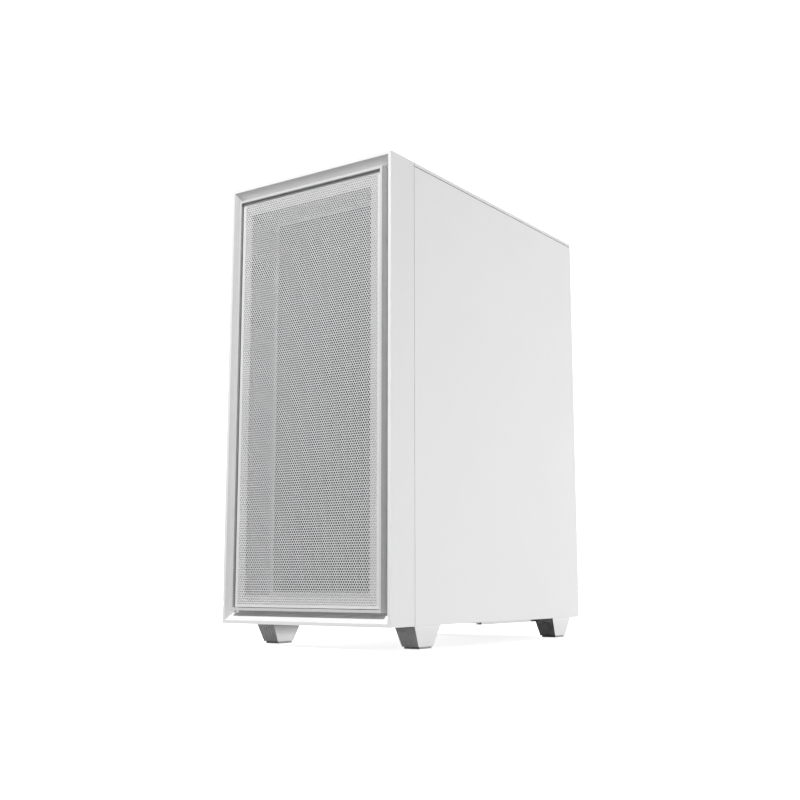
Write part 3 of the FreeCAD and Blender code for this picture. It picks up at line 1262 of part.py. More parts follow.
inlet_x = (psu_x[1] - d.inlet_side - d.inlet_width / 2, psu_x[1] - d.inlet_side + d.inlet_width / 2)
inlet_z = (psu_z[0] + d.inlet_rise - d.inlet_height / 2, psu_z[0] + d.inlet_rise + d.inlet_height / 2)
rocker_x = (psu_x[1] - d.rocker_side - d.rocker_width / 2, psu_x[1] - d.rocker_side + d.rocker_width / 2)
rocker_z = (psu_z[0] + d.inlet_rise - d.rocker_height / 2, psu_z[0] + d.inlet_rise + d.rocker_height / 2)
rocker_pivot = (inner_rear - d.rocker_pin * 3, (rocker_z[0] + rocker_z[1]) / 2)


def make_power_supply():
    """The power supply's case, its fan, mains inlet and switch."""
    case = new_body("psu_housing")
    wall = d.sheet
    pad(case, "psu_case", "z", [rect(psu_x, psu_y)], psu_z)
    inside = rect((psu_x[0] + wall, psu_x[1] - wall), (psu_y[0] + wall, psu_y[1] - wall))
    pocket(case, "psu_inside", "z", [inside], (psu_z[0] + wall, psu_z[1] - wall))
    x, y = psu_fan
    pocket(case, "psu_air", "z", [disc(x, y, d.fan_bore)], (psu_z[0], psu_z[0] + wall))
    level = psu_z[0] + wall + d.psu_fan_inner
    arm = d.strut_width / 2
    thick = (level, level + d.fan_mount_depth - wall)
    wide = (psu_x[0] + wall / 2, psu_x[1] - wall / 2)
    pad(case, "psu_strut_x", "z", [rect(wide, (y - arm, y + arm))], thick)
    long = (psu_y[0] + wall / 2, psu_y[1] - wall / 2)
    pad(case, "psu_strut_y", "z", [rect((x - arm, x + arm), long)], thick)
    pad(case, "psu_mount", "z", [disc(x, y, d.fan_mount)], (level, level + d.fan_mount_depth))
    bore = d.shaft_radius + d.shaft_clearance
    pocket(case, "psu_bore", "z", [disc(x, y, bore)], (level, level + d.shaft_length + wall / 2))
    gap = d.slip
    rocker_gate = rect((rocker_x[0] - gap, rocker_x[1] + gap), (rocker_z[0] - gap, rocker_z[1] + gap))
    openings = [rect(inlet_x, inlet_z), rocker_gate]
    pocket(case, "psu_rear_openings", "y", openings, (psu_y[1] - wall, psu_y[1]))
    cradle_x = (rocker_x[0] - gap - wall * 2, rocker_x[1] + gap + wall * 2)
    cradle_y = (rocker_pivot[0] - d.rocker_pin * 2, psu_y[1] - wall)
    cheeks = [rect((cradle_x[0], rocker_x[0] - gap), cradle_y),
              rect((rocker_x[1] + gap, cradle_x[1]), cradle_y)]
    pad(case, "rocker_cradle", "z", cheeks, rocker_z)
    pin = disc(rocker_pivot[0], rocker_pivot[1], d.rocker_pin + d.shaft_clearance)
    pocket(case, "rocker_bore", "x", [pin], cradle_x)
    make_rotor("psu_fan_rotor", d.fan_hub, d.fan_tip, d.fan_depth, d.blade_chord,
               (x, y, level + d.fan_mount_depth), TO_FLOOR)
    shell = block("inlet_shell", inlet_x, (inner_rear - d.inlet_depth, rear), inlet_z)
    rim = d.inlet_wall
    room = block("inlet_room", (inlet_x[0] + rim, inlet_x[1] - rim), (rear - d.inlet_depth + rim * 2, rear),
                 (inlet_z[0] + rim, inlet_z[1] - rim))
    keep(cut("psu_inlet", shell, [room]), "psu_inlet")
    rocker = new_body("psu_rocker_switch")
    y, z = rocker_pivot
    half = d.rocker_height / 2 - d.rocker_clear
    back = y - d.rocker_pin * 2
    face = [(back, z - half / 3), (inner_rear, z - half), (inner_rear + d.rocker_throw / 3, z),
            (inner_rear + d.rocker_throw, z + half), (back, z + half / 3)]
    pad(rocker, "rocker_face", "x", [face], rocker_x)
    pad(rocker, "rocker_pins", "x", [disc(y, z, d.rocker_pin)],
        (rocker_x[0] - gap - wall, rocker_x[1] + gap + wall))


def make_bottom_filter():
    """The filter that slides out to the rear under the power supply."""
    reach = side - d.rail_inset - d.rail_width - d.slip
    low = base - d.rail_height + d.sheet + d.slip
    y = (rear - d.bottom_filter_tab - d.bottom_filter_length, rear - d.bottom_filter_tab)
    plate = block("bottom_plate", (-reach, reach), y, (low, low + d.bottom_filter_thickness))
    grip = block("bottom_grip", (-d.grip_reach, d.grip_reach), (y[1], rear),
                 (low, low + d.bottom_filter_thickness))
    keep(fuse("psu_filter", [plate, grip]), "psu_filter")


# Share of each straight run that a cable's bend may take.
BEND_SHARE = 0.45


def swept(label, points, radius):
    """A round cable along straight runs joined by tangent arcs."""
    spots = [FreeCAD.Vector(*(as_size(c).value for c in point)) for point in points]
    edges = []
    start = spots[0]
    for before, corner, after in zip(spots, spots[1:], spots[2:]):
        come = (corner - before).normalize()
        leave = (after - corner).normalize()
        turn = come.getAngle(leave)
        room = BEND_SHARE * min((corner - before).Length, (after - corner).Length)
        enter = corner - come * room
        exit_point = corner + leave * room
        bend = room / math.tan(turn / 2)
        inward = (leave - come).normalize()
        centre = corner + inward * (bend / math.cos(turn / 2))
        middle = centre - inward * bend
        edges.append(Part.LineSegment(start, enter).toShape())
        edges.append(Part.Arc(enter, middle, exit_point).toShape())
        start = exit_point
    edges.append(Part.LineSegment(start, spots[-1]).toShape())
    path = Part.Wire(edges)
    section = Part.Wire([Part.Circle(spots[0], (spots[1] - spots[0]).normalize(), radius.value).toShape()])
    cable = doc.addObject("Part::Feature", label)
    cable.Shape = path.makePipeShell([section], True, False)
    return keep(cable, label)


def make_cables():
    """The main power cable to the board's edge, and the graphics card's cable."""
    z = cable_z["main"]
    behind = tray_x[1] + d.cable_start
    rise = board_face - d.plug_height / 2
    swept("power_cable_bundle", [
        (behind, cable_y, z),
        (tray_x[0] - d.cable_end, cable_y, z),
        (rise - d.cable_lift, cable_y + d.cable_bow, z),
        (rise, board_y[0] - d.cable_end, z),
        (rise, board_y[0], z),
    ], d.cable_radius)
    z = cable_z["card"]
    swept("graphics_power_cable", [
        (behind, cable_y, z),
        (tray_x[0] - d.card_cable_drop, cable_y, z),
        (card_middle, card_y[0] - d.card_cable_end, z),
        (card_middle, card_y[0], z),
    ], d.card_cable_radius)


make_bezel()
make_mesh_frame()
make_front_sheets()
make_front_plate()
make_bottom_plate()
make_top_plate()
make_rear_plate()
make_top_cover()
make_top_filter()
make_button("power_button", d.power_place, d.button_radius)
make_button("reset_button", d.reset_place, d.reset_radius)
make_front_sockets()
make_slot_covers()
make_side_panels()
make_feet()
make_case_fans()
make_tray()
make_shroud()
make_drives()
make_motherboard()
make_memory()
make_board_coolers()
make_rear_sockets()
make_cooler()
make_graphics_card()
make_power_supply()
make_bottom_filter()
make_cables()

doc.recompute()
faults = [item.Label for item in doc.Objects if "Invalid" in item.State or "Error" in item.State]
for part in parts:
    if part.Shape.isNull() or not part.Shape.isValid() or not part.Shape.Solids:
        faults.append(part.Label)
if faults:
    raise RuntimeError(f"failed: {sorted(set(faults))}")
os.makedirs("parts", exist_ok=True)
for part in parts:
    part.Shape.exportStep(f"parts/{part.Label}.step")
print(len(parts), "sub-parts written")
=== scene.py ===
"""The looks of a white desktop computer tower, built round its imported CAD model.

Lengths are metres; MM turns millimetres into metres.  X is to the right of someone facing the front,
Y runs from the front to the rear and Z is up, as in the CAD model.
"""
import json
import math
import random

import bmesh
import bpy
from mathutils import Matrix, Vector

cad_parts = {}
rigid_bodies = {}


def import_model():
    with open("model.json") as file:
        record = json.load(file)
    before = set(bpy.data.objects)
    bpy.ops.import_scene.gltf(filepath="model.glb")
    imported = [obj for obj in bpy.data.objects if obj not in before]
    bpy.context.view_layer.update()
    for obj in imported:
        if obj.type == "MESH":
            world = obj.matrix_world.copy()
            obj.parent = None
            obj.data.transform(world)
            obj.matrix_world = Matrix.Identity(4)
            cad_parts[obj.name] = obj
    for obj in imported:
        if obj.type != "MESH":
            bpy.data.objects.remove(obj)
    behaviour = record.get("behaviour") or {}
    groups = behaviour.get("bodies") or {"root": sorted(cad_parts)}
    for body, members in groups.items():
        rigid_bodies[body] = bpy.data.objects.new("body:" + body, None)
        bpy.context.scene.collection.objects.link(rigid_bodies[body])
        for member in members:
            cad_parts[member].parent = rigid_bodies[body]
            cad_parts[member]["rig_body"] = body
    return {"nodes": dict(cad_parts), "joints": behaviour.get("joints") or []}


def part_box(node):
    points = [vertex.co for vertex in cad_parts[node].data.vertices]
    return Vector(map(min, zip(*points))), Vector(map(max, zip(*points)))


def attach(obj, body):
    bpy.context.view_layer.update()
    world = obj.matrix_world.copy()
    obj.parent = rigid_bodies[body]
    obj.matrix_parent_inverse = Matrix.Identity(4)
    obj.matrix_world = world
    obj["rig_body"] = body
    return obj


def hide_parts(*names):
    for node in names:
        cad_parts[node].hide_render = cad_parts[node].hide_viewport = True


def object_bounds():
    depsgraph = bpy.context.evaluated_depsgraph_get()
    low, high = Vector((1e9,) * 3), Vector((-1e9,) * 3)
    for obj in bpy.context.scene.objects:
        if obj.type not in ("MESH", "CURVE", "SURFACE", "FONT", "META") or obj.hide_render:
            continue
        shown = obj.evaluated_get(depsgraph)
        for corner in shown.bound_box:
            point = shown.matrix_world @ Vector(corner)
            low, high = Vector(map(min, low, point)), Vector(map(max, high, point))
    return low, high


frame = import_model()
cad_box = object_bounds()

MM = 0.001
NODES = frame["nodes"]
scene = bpy.context.scene
FORWARD, BACKWARD, UP, DOWN = (0, -1, 0), (0, 1, 0), (0, 0, 1), (0, 0, -1)
LEFT = (-1, 0, 0)


# ---------------------------------------------------------------- finishes

# The span that most of a noise texture's values lie in.
NOISE_LOW, NOISE_HIGH = 0.3, 0.7
# How fast a tint drifts, and how much larger and deeper the broad grain is than the fine one.
DRIFT_SCALE, BROAD_SIZE, BROAD_DEPTH = 14.0, 6.0, 1.5
COAT_ROUGHNESS = 0.25
# Bands of a wave texture in one unit, and the gaps of a weave: the brightness of the painted shade in them,
# and their depth.
WAVE_BANDS, WEAVE_SHADE, WEAVE_DEPTH = 20.0, 0.35, 0.4
TRACK_SCALE, TRACK_DISORDER, TRACK_WIDTH, TRACK_DEPTH = 210.0, 0.35, 0.09, 0.00006


def new_finish(name):
    """A new material, with its nodes, its links and its shader."""
    finish = bpy.data.materials.new(name)
    finish.use_nodes = True
    nodes = finish.node_tree.nodes
    return finish, nodes, finish.node_tree.links, nodes["Principled BSDF"]


def object_space(nodes, links, stretch=(1.0, 1.0, 1.0)):
    """Object coordinates, stretched along the axes that a pattern runs along."""
    where = nodes.new("ShaderNodeTexCoord")
    mapping = nodes.new("ShaderNodeMapping")
    mapping.inputs["Scale"].default_value = stretch
    links.new(where.outputs["Object"], mapping.inputs["Vector"])
    return mapping.outputs["Vector"]


def noise(nodes, links, vector, scale, detail=3.0):
    """A noise texture's value."""
    texture = nodes.new("ShaderNodeTexNoise")
    texture.inputs["Scale"].default_value = scale
    texture.inputs["Detail"].default_value = detail
    links.new(vector, texture.inputs["Vector"])
    return texture.outputs["Fac"]


def blend_colours(nodes, links, factor, first, second):
    """A colour between two, by a factor."""
    mix = nodes.new("ShaderNodeMix")
    mix.data_type = "RGBA"
    mix.inputs["A"].default_value = (*first, 1.0)
    mix.inputs["B"].default_value = (*second, 1.0)
    links.new(factor, mix.inputs["Factor"])
    return mix.outputs["Result"]


def remap(nodes, links, value, low, high, start=NOISE_LOW, end=NOISE_HIGH):
    """A value between two limits, from one that runs from start to end."""
    spread = nodes.new("ShaderNodeMapRange")
    for label, limit in (("From Min", start), ("From Max", end), ("To Min", low), ("To Max", high)):
        spread.inputs[label].default_value = limit
    links.new(value, spread.inputs["Value"])
    return spread.outputs["Result"]


def bump(nodes, links, height, depth, under=None):
    """A bump of a real depth from a height value."""
    node = nodes.new("ShaderNodeBump")
    node.inputs["Distance"].default_value = depth
    links.new(height, node.inputs["Height"])
    if under is not None:
        links.new(under, node.inputs["Normal"])
    return node.outputs["Normal"]


def speckled(name, tints, rough, grain, depth, metallic=0.0, stretch=(1.0, 1.0, 1.0), coat=0.0,
             specular=0.5):
    """A surface whose tint and gloss drift a little, with a fine grain of a real depth."""
    finish, nodes, links, shader = new_finish(name)
    vector = object_space(nodes, links, stretch)
    drift = noise(nodes, links, vector, DRIFT_SCALE)
    links.new(blend_colours(nodes, links, drift, *tints), shader.inputs["Base Color"])
    fine = noise(nodes, links, vector, grain, 2.0)
    links.new(remap(nodes, links, fine, *rough), shader.inputs["Roughness"])
    broad = bump(nodes, links, noise(nodes, links, vector, grain / BROAD_SIZE), depth * BROAD_DEPTH)
    links.new(bump(nodes, links, fine, depth, broad), shader.inputs["Normal"])
    for label, value in (("Metallic", metallic), ("Specular IOR Level", specular), ("Coat Weight", coat),
                         ("Coat Roughness", COAT_ROUGHNESS)):
        shader.inputs[label].default_value = value
    return finish


def grey(value, tint=(1.0, 1.0, 1.0)):
    """A grey of one brightness, with a slight tint."""
    return tuple(value * t for t in tint)


def woven(name, colour, thread, rough=0.7):
    """A fine square weave of round threads, with painted shade in the gaps between them."""
    finish, nodes, links, shader = new_finish(name)
    vector = object_space(nodes, links)
    total = None
    for direction in ("X", "Y", "Z"):
        wave = nodes.new("ShaderNodeTexWave")
        wave.bands_direction = direction
        wave.inputs["Scale"].default_value = 1.0 / thread / WAVE_BANDS
        links.new(vector, wave.inputs["Vector"])
        if total is None:
            total = wave.outputs["Fac"]
            continue
        higher = nodes.new("ShaderNodeMath")
        higher.operation = "MAXIMUM"
        links.new(total, higher.inputs[0])
        links.new(wave.outputs["Fac"], higher.inputs[1])
        total = higher.outputs["Value"]
    # The low gaps between threads are darkened: painted shade.
    dark = grey(WEAVE_SHADE, colour)
    links.new(blend_colours(nodes, links, total, dark, colour), shader.inputs["Base Color"])
    links.new(bump(nodes, links, total, thread * WEAVE_DEPTH), shader.inputs["Normal"])
    shader.inputs["Roughness"].default_value = rough
    return finish


def circuit_board(name, mask, copper):
    """Solder mask over fine copper tracks."""
    finish, nodes, links, shader = new_finish(name)
    vector = object_space(nodes, links)
    tracks = nodes.new("ShaderNodeTexVoronoi")
    tracks.feature = "DISTANCE_TO_EDGE"
    tracks.inputs["Scale"].default_value = TRACK_SCALE
    tracks.inputs["Randomness"].default_value = TRACK_DISORDER
    links.new(vector, tracks.inputs["Vector"])
    edge = remap(nodes, links, tracks.outputs["Distance"], 1.0, 0.0, 0.0, TRACK_WIDTH)
    links.new(blend_colours(nodes, links, edge, mask, copper), shader.inputs["Base Color"])
    links.new(bump(nodes, links, edge, TRACK_DEPTH), shader.inputs["Normal"])
    gloss = remap(nodes, links, noise(nodes, links, vector, 90.0), 0.28, 0.42)
    links.new(gloss, shader.inputs["Roughness"])
    return finish


def clear_glass(name):
    """Slightly grey toughened glass with faint waviness."""
    finish, nodes, links, shader = new_finish(name)
    drift = noise(nodes, links, object_space(nodes, links), 9.0)
    tint = blend_colours(nodes, links, drift, (0.016, 0.018, 0.020), (0.020, 0.022, 0.024))
    links.new(tint, shader.inputs["Base Color"])
    links.new(bump(nodes, links, drift, 0.00002), shader.inputs["Normal"])
    for label, value in (("Alpha", 0.26), ("Roughness", 0.03), ("Specular IOR Level", 0.6)):
        shader.inputs[label].default_value = value
    return finish


WHITE = (grey(0.80), grey(0.83))
FINISH = {
    "moulding": speckled("white_moulding", WHITE, (0.36, 0.48), 2600.0, 0.000012),
    "powder": speckled("white_powder_coat", WHITE, (0.38, 0.55), 1500.0, 0.00002, specular=0.4),
    "inner_powder": speckled("white_inner_powder_coat", (grey(0.72), grey(0.76)), (0.42, 0.58), 1300.0,
                             0.00002),
    "mesh_coat": speckled("white_mesh_coat", (grey(0.69), grey(0.73)), (0.40, 0.55), 1800.0, 0.00001),
    "frame_coat": speckled("white_frame_coat", (grey(0.60), grey(0.64)), (0.38, 0.55), 1500.0, 0.00002),
    "grille_steel": speckled("dark_grille_steel", (grey(0.12), grey(0.16)), (0.30, 0.44), 800.0, 0.00001,
                             metallic=0.8),
    "black_plastic": speckled("black_moulded_plastic", (grey(0.012), grey(0.02)), (0.42, 0.60), 1800.0,
                              0.00002),
    "blade_plastic": speckled("dark_fan_plastic", (grey(0.02), grey(0.032)), (0.32, 0.46), 900.0, 0.00001),
    "satin_button": speckled("satin_button", (grey(0.76), grey(0.80)), (0.25, 0.34), 1400.0, 0.000005,
                             coat=0.3),
    "rubber": speckled("grey_foam_rubber", (grey(0.30), grey(0.36)), (0.75, 0.9), 700.0, 0.00006),
    "black_zinc": speckled("black_zinc", (grey(0.03), grey(0.05)), (0.3, 0.42), 900.0, 0.00001, metallic=0.9),
    "bright_steel": speckled("bright_stamped_steel", (grey(0.56), grey(0.66)), (0.22, 0.36), 600.0, 0.00001,
                             metallic=1.0, stretch=(1.0, 1.0, 6.0)),
    "brushed": speckled("brushed_aluminium", (grey(0.60), grey(0.70)), (0.25, 0.42), 500.0, 0.00001,
                        metallic=1.0, stretch=(8.0, 1.0, 1.0)),
    "dark_anodised": speckled("dark_anodised_aluminium", (grey(0.035), grey(0.05)), (0.3, 0.44), 800.0,
                              0.00001, metallic=0.8, stretch=(1.0, 1.0, 5.0)),
    "brass": speckled("turned_brass", ((0.60, 0.42, 0.16), (0.70, 0.52, 0.22)), (0.22, 0.34), 700.0, 0.00001,
                      metallic=1.0),
    "copper": speckled("nickelled_copper", ((0.62, 0.56, 0.52), (0.70, 0.64, 0.60)), (0.18, 0.28), 600.0,
                       0.00001, metallic=1.0),
    "gold": speckled("gold_contacts", ((0.72, 0.50, 0.20), (0.80, 0.58, 0.26)), (0.2, 0.3), 800.0, 0.00001,
                     metallic=1.0),
    "board": circuit_board("black_circuit_board", (0.010, 0.011, 0.013), (0.035, 0.036, 0.040)),
    "dust_cloth": woven("dark_dust_cloth", grey(0.03), 0.0007),
    "sleeve": woven("braided_sleeve", grey(0.035), 0.0011, 0.55),
    "glass": clear_glass("toughened_glass"),
    "socket_blue": speckled("socket_insert", ((0.02, 0.10, 0.30), (0.03, 0.13, 0.36)), (0.4, 0.5), 900.0,
                             0.00001),
    "socket_tan": speckled("tan_component", ((0.42, 0.34, 0.22), (0.50, 0.42, 0.30)), (0.35, 0.45), 900.0,
                            0.00001),
    "amber": speckled("amber_component", ((0.30, 0.20, 0.10), (0.36, 0.25, 0.14)), (0.4, 0.5), 900.0,
                       0.00001),
}


# ---------------------------------------------------------------- making pieces

def finish_piece(piece, body, finish, replaced=()):
    """Gives a piece its material, body and material slot, and hides the nodes it stands for."""
    if finish is not None:
        piece.data.materials.clear()
        piece.data.materials.append(FINISH[finish])
    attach(piece, body)
    if replaced:
        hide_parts(*replaced)
    return piece


def mesh_piece(name, bm):
    """Turns a bmesh into an object with outward faces."""
    bmesh.ops.recalc_face_normals(bm, faces=bm.faces)
    mesh = bpy.data.meshes.new(name)
    bm.to_mesh(mesh)
    bm.free()
    piece = bpy.data.objects.new(name, mesh)
    scene.collection.objects.link(piece)
    return piece


def bevelled(piece, width, segments=2, angle=30.0):
    """Rounds a piece's edges with a live bevel."""
    modifier = piece.modifiers.new("edges", "BEVEL")
    modifier.width = width
    modifier.segments = segments
    modifier.limit_method = "ANGLE"
    modifier.angle_limit = math.radians(angle)
    modifier.harden_normals = True
    smooth(piece, angle)
    return piece


def smooth(piece, angle=35.0):
    """Smooth faces with sharp edges kept."""
    mesh = piece.data
    mesh.shade_smooth()
    mesh.set_sharp_from_angle(angle=math.radians(angle))


def softened(node, width, finish, name=None, segments=2):
    """A copy of a CAD node with its edges rounded; it stands for the node."""
    bm = bmesh.new()
    bm.from_mesh(NODES[node].data)
    bmesh.ops.remove_doubles(bm, verts=bm.verts, dist=0.00001)
    bmesh.ops.dissolve_limit(bm, angle_limit=math.radians(0.5), verts=bm.verts, edges=bm.edges)
    piece = mesh_piece(name or f"{node}_finished", bm)
    bevelled(piece, width, segments)
    return finish_piece(piece, NODES[node]["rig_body"], finish, (node,))


def add_box(bm, low, high):
    """A closed box between two corners."""
    x_ends, y_ends, z_ends = zip(low, high)
    points = [bm.verts.new(Vector((x, y, z))) for z in z_ends for y in y_ends for x in x_ends]
    for face in ((0, 2, 3, 1), (4, 5, 7, 6), (0, 1, 5, 4), (2, 6, 7, 3), (0, 4, 6, 2), (1, 3, 7, 5)):
        bm.faces.new([points[i] for i in face])


def boxes(name, limits, width=0.0003, segments=2):
    """Several rounded boxes as one piece."""
    bm = bmesh.new()
    for low, high in limits:
        add_box(bm, low, high)
    return bevelled(mesh_piece(name, bm), width, segments)


def mm(*points):
    """Points given in millimetres, in metres."""
    return [tuple(value * MM for value in point) for point in points]


def off(origin, x, y, z):
    """A place given in millimetres from another."""
    return (origin[0] + x * MM, origin[1] + y * MM, origin[2] + z * MM)


def surround(low, high, gap_x, gap_v, upright=2):
    """Four boxes round an opening: on its left and right, then before and after it on the other axis."""
    before, after = Vector(high), Vector(low)
    before.x, before[upright] = gap_x[1], gap_v[0]
    after.x, after[upright] = gap_x[0], gap_v[1]
    return [(low, (gap_x[0], high[1], high[2])), ((gap_x[1], low[1], low[2]), high),
            ((gap_x[0], low[1], low[2]), before), (after, (gap_x[1], high[1], high[2]))]


def corners(low, high, inset, level):
    """Four places near the corners of a face that looks along Y."""
    return [(x, level, z) for x in (low.x + inset, high.x - inset) for z in (low.z + inset, high.z - inset)]


def along(axis, origin):
    """A place whose local Z looks along an axis."""
    turn = Vector(UP).rotation_difference(Vector(axis)).to_matrix().to_4x4()
    return Matrix.Translation(origin) @ turn


def circle(bm, radius, level, sides):
    """A ring of vertices round the Z axis."""
    turns = [2.0 * math.pi * i / sides for i in range(sides)]
    return [bm.verts.new((radius * math.cos(a), radius * math.sin(a), level)) for a in turns]


def band(bm, lower, upper):
    """Faces between two rings of vertices, of which one may be a single pole."""
    count = max(len(lower), len(upper))
    for i in range(count):
        j = (i + 1) % count
        if len(lower) == 1:
            bm.faces.new((lower[0], upper[i], upper[j]))
        elif len(upper) == 1:
            bm.faces.new((lower[i], lower[j], upper[0]))
        else:
            bm.faces.new((lower[i], lower[j], upper[j], upper[i]))


def lathe(name, outline, centre, axis, segments=48):
    """A closed turned shape: its outline gives (radius, place along the axis) from pole to pole."""
    bm = bmesh.new()
    rings = [circle(bm, radius, level, segments if radius else 1) for radius, level in outline]
    for lower, upper in zip(rings, rings[1:]):
        band(bm, lower, upper)
    bmesh.ops.remove_doubles(bm, verts=bm.verts, dist=1e-6)
    bm.transform(along(axis, centre))
    piece = mesh_piece(name, bm)
    smooth(piece, 40.0)
    return piece


def joined(name, pieces):
    """Several pieces as one, with their modifiers applied."""
    depsgraph = bpy.context.evaluated_depsgraph_get()
    bm = bmesh.new()
    finishes = []
    for piece in pieces:
        mesh = bpy.data.meshes.new_from_object(piece.evaluated_get(depsgraph))
        offset = len(finishes)
        for material in mesh.materials:
            finishes.append(material)
        for polygon in mesh.polygons:
            polygon.material_index += offset
        bm.from_mesh(mesh)
        bpy.data.objects.remove(piece)
    result = bpy.data.meshes.new(name)
    bm.to_mesh(result)
    bm.free()
    for material in finishes:
        result.materials.append(material)
    whole = bpy.data.objects.new(name, result)
    scene.collection.objects.link(whole)
    smooth(whole)
    return whole


# ---------------------------------------------------------------- geometry nodes

# Height of a honeycomb's row, as a share of its pitch.
ROW_RATIO = math.sqrt(0.75)
CELL_WELD = 0.00002
# A radius that no sheet reaches.
NO_LIMIT = 10.0
SMALLEST_PART, LARGEST_PART = (0.6, 0.6, 0.7), (1.5, 1.1, 1.2)


class Tree:
    """A geometry node group under construction, with named inputs."""

    def __init__(self, name, **inputs):
        self.group = bpy.data.node_groups.new(name, "GeometryNodeTree")
        face = self.group.interface
        self.sockets = {}
        for label, kind in {"Item": "Object", "Material": "Material", **inputs}.items():
            socket = face.new_socket(label, in_out="INPUT", socket_type=f"NodeSocket{kind}")
            self.sockets[label] = socket.identifier
        face.new_socket("Geometry", in_out="OUTPUT", socket_type="NodeSocketGeometry")
        self.start = self.node("NodeGroupInput")
        self.end = self.node("NodeGroupOutput")

    def node(self, kind, feeds=(), **settings):
        """A node with its settings, and what feeds its inputs."""
        made = self.group.nodes.new(kind)
        for key, value in settings.items():
            setattr(made, key, value)
        for key, source in dict(feeds).items():
            if isinstance(source, bpy.types.NodeSocket):
                self.group.links.new(source, made.inputs[key])
            else:
                made.inputs[key].default_value = source
        return made

    def index(self):
        """Each point's index."""
        return self.node("GeometryNodeInputIndex").outputs["Index"]

    def sum(self, operation, first, second=0.0):
        """One arithmetic step."""
        return self.node("ShaderNodeMath", {0: first, 1: second}, operation=operation).outputs["Value"]

    def times(self, first, second):
        """A product."""
        return self.sum("MULTIPLY", first, second)

    def vector(self, x, y, z):
        """A vector from three values."""
        return self.node("ShaderNodeCombineXYZ", {"X": x, "Y": y, "Z": z}).outputs["Vector"]

    def random(self, low, high, seed):
        """A random vector between two limits."""
        feeds = {"Min": low, "Max": high, "Seed": seed}
        return self.node("FunctionNodeRandomValue", feeds, data_type="FLOAT_VECTOR").outputs["Value"]

    def take(self, label):
        """One of the group's inputs."""
        return self.start.outputs[label]

    def points(self, count, position):
        """Points at positions worked out from their index."""
        return self.node("GeometryNodePoints", {"Count": count, "Position": position}).outputs["Geometry"]

    def finish(self, points, merge=0.0, **settings):
        """Repeats the item on the points, makes it real, and gives it its material."""
        item = self.node("GeometryNodeObjectInfo", {"Object": self.take("Item")}).outputs["Geometry"]
        copies = self.node("GeometryNodeInstanceOnPoints", {"Points": points, "Instance": item, **settings})
        out = self.node("GeometryNodeRealizeInstances", {"Geometry": copies.outputs["Instances"]})
        if merge:
            feeds = {"Geometry": out.outputs["Geometry"], "Distance": merge}
            out = self.node("GeometryNodeMergeByDistance", feeds)
        feeds = {"Geometry": out.outputs["Geometry"], "Material": self.take("Material")}
        paint = self.node("GeometryNodeSetMaterial", feeds)
        self.group.links.new(paint.outputs["Geometry"], self.end.inputs["Geometry"])
        return self


def honeycomb_tree():
    """Cells in staggered rows, as far as a rectangle and a circle allow."""
    tree = Tree("perforated_sheet", Columns="Int", Rows="Int", Pitch="Float", Radius="Float")
    columns, rows, pitch = (tree.take(label) for label in ("Columns", "Rows", "Pitch"))
    index = tree.index()
    row = tree.sum("FLOOR", tree.sum("DIVIDE", index, columns))
    column = tree.sum("SUBTRACT", index, tree.times(row, columns))
    stagger = tree.times(tree.sum("MODULO", row, 2.0), 0.5)
    middle = tree.times(tree.sum("SUBTRACT", columns, 0.5), 0.5)
    x = tree.times(tree.sum("SUBTRACT", tree.sum("ADD", column, stagger), middle), pitch)
    half = tree.times(tree.sum("SUBTRACT", rows, 1.0), 0.5)
    y = tree.times(tree.sum("SUBTRACT", row, half), tree.times(pitch, ROW_RATIO))
    points = tree.points(tree.times(columns, rows), tree.vector(x, y, 0.0))
    position = tree.node("GeometryNodeInputPosition").outputs["Position"]
    away = tree.node("ShaderNodeVectorMath", {0: position}, operation="LENGTH").outputs["Value"]
    outside = tree.node("FunctionNodeCompare", {"A": away, "B": tree.take("Radius")}, data_type="FLOAT",
                        operation="GREATER_THAN").outputs["Result"]
    kept = tree.node("GeometryNodeDeleteGeometry", {"Geometry": points, "Selection": outside},
                     domain="POINT").outputs["Geometry"]
    return tree.finish(kept, merge=CELL_WELD)


def row_tree():
    """Copies at equal steps along one direction."""
    tree = Tree("row_of_copies", Count="Int", Step="Vector")
    feeds = {0: tree.take("Step"), "Scale": tree.index()}
    place = tree.node("ShaderNodeVectorMath", feeds, operation="SCALE").outputs["Vector"]
    return tree.finish(tree.points(tree.take("Count"), place))


def ring_tree():
    """Copies turned round the Z axis."""
    tree = Tree("ring_of_copies", Count="Int")
    angle = tree.times(tree.sum("DIVIDE", tree.index(), tree.take("Count")), 2.0 * math.pi)
    points = tree.points(tree.take("Count"), (0.0, 0.0, 0.0))
    return tree.finish(points, Rotation=tree.vector(0.0, 0.0, angle))


def scatter_tree():
    """Small parts strewn over a rectangle in square rows, with sizes and gaps that vary."""
    tree = Tree("strewn_components", Count="Int", Width="Float", Length="Float", Grid="Float", Seed="Int")
    half_x, half_y = (tree.times(tree.take(label), 0.5) for label in ("Width", "Length"))
    low = tree.vector(tree.times(half_x, -1.0), tree.times(half_y, -1.0), 0.0)
    spread = tree.random(low, tree.vector(half_x, half_y, 0.0), tree.take("Seed"))
    grid = tree.take("Grid")
    snap = tree.node("ShaderNodeVectorMath", {0: spread, 1: tree.vector(grid, grid, grid)},
                     operation="SNAP").outputs["Vector"]
    size = tree.random(SMALLEST_PART, LARGEST_PART, tree.sum("ADD", tree.take("Seed"), 7.0))
    return tree.finish(tree.points(tree.take("Count"), snap), Scale=size)


TREES = {"honeycomb": honeycomb_tree(), "row": row_tree(), "ring": ring_tree(), "scatter": scatter_tree()}


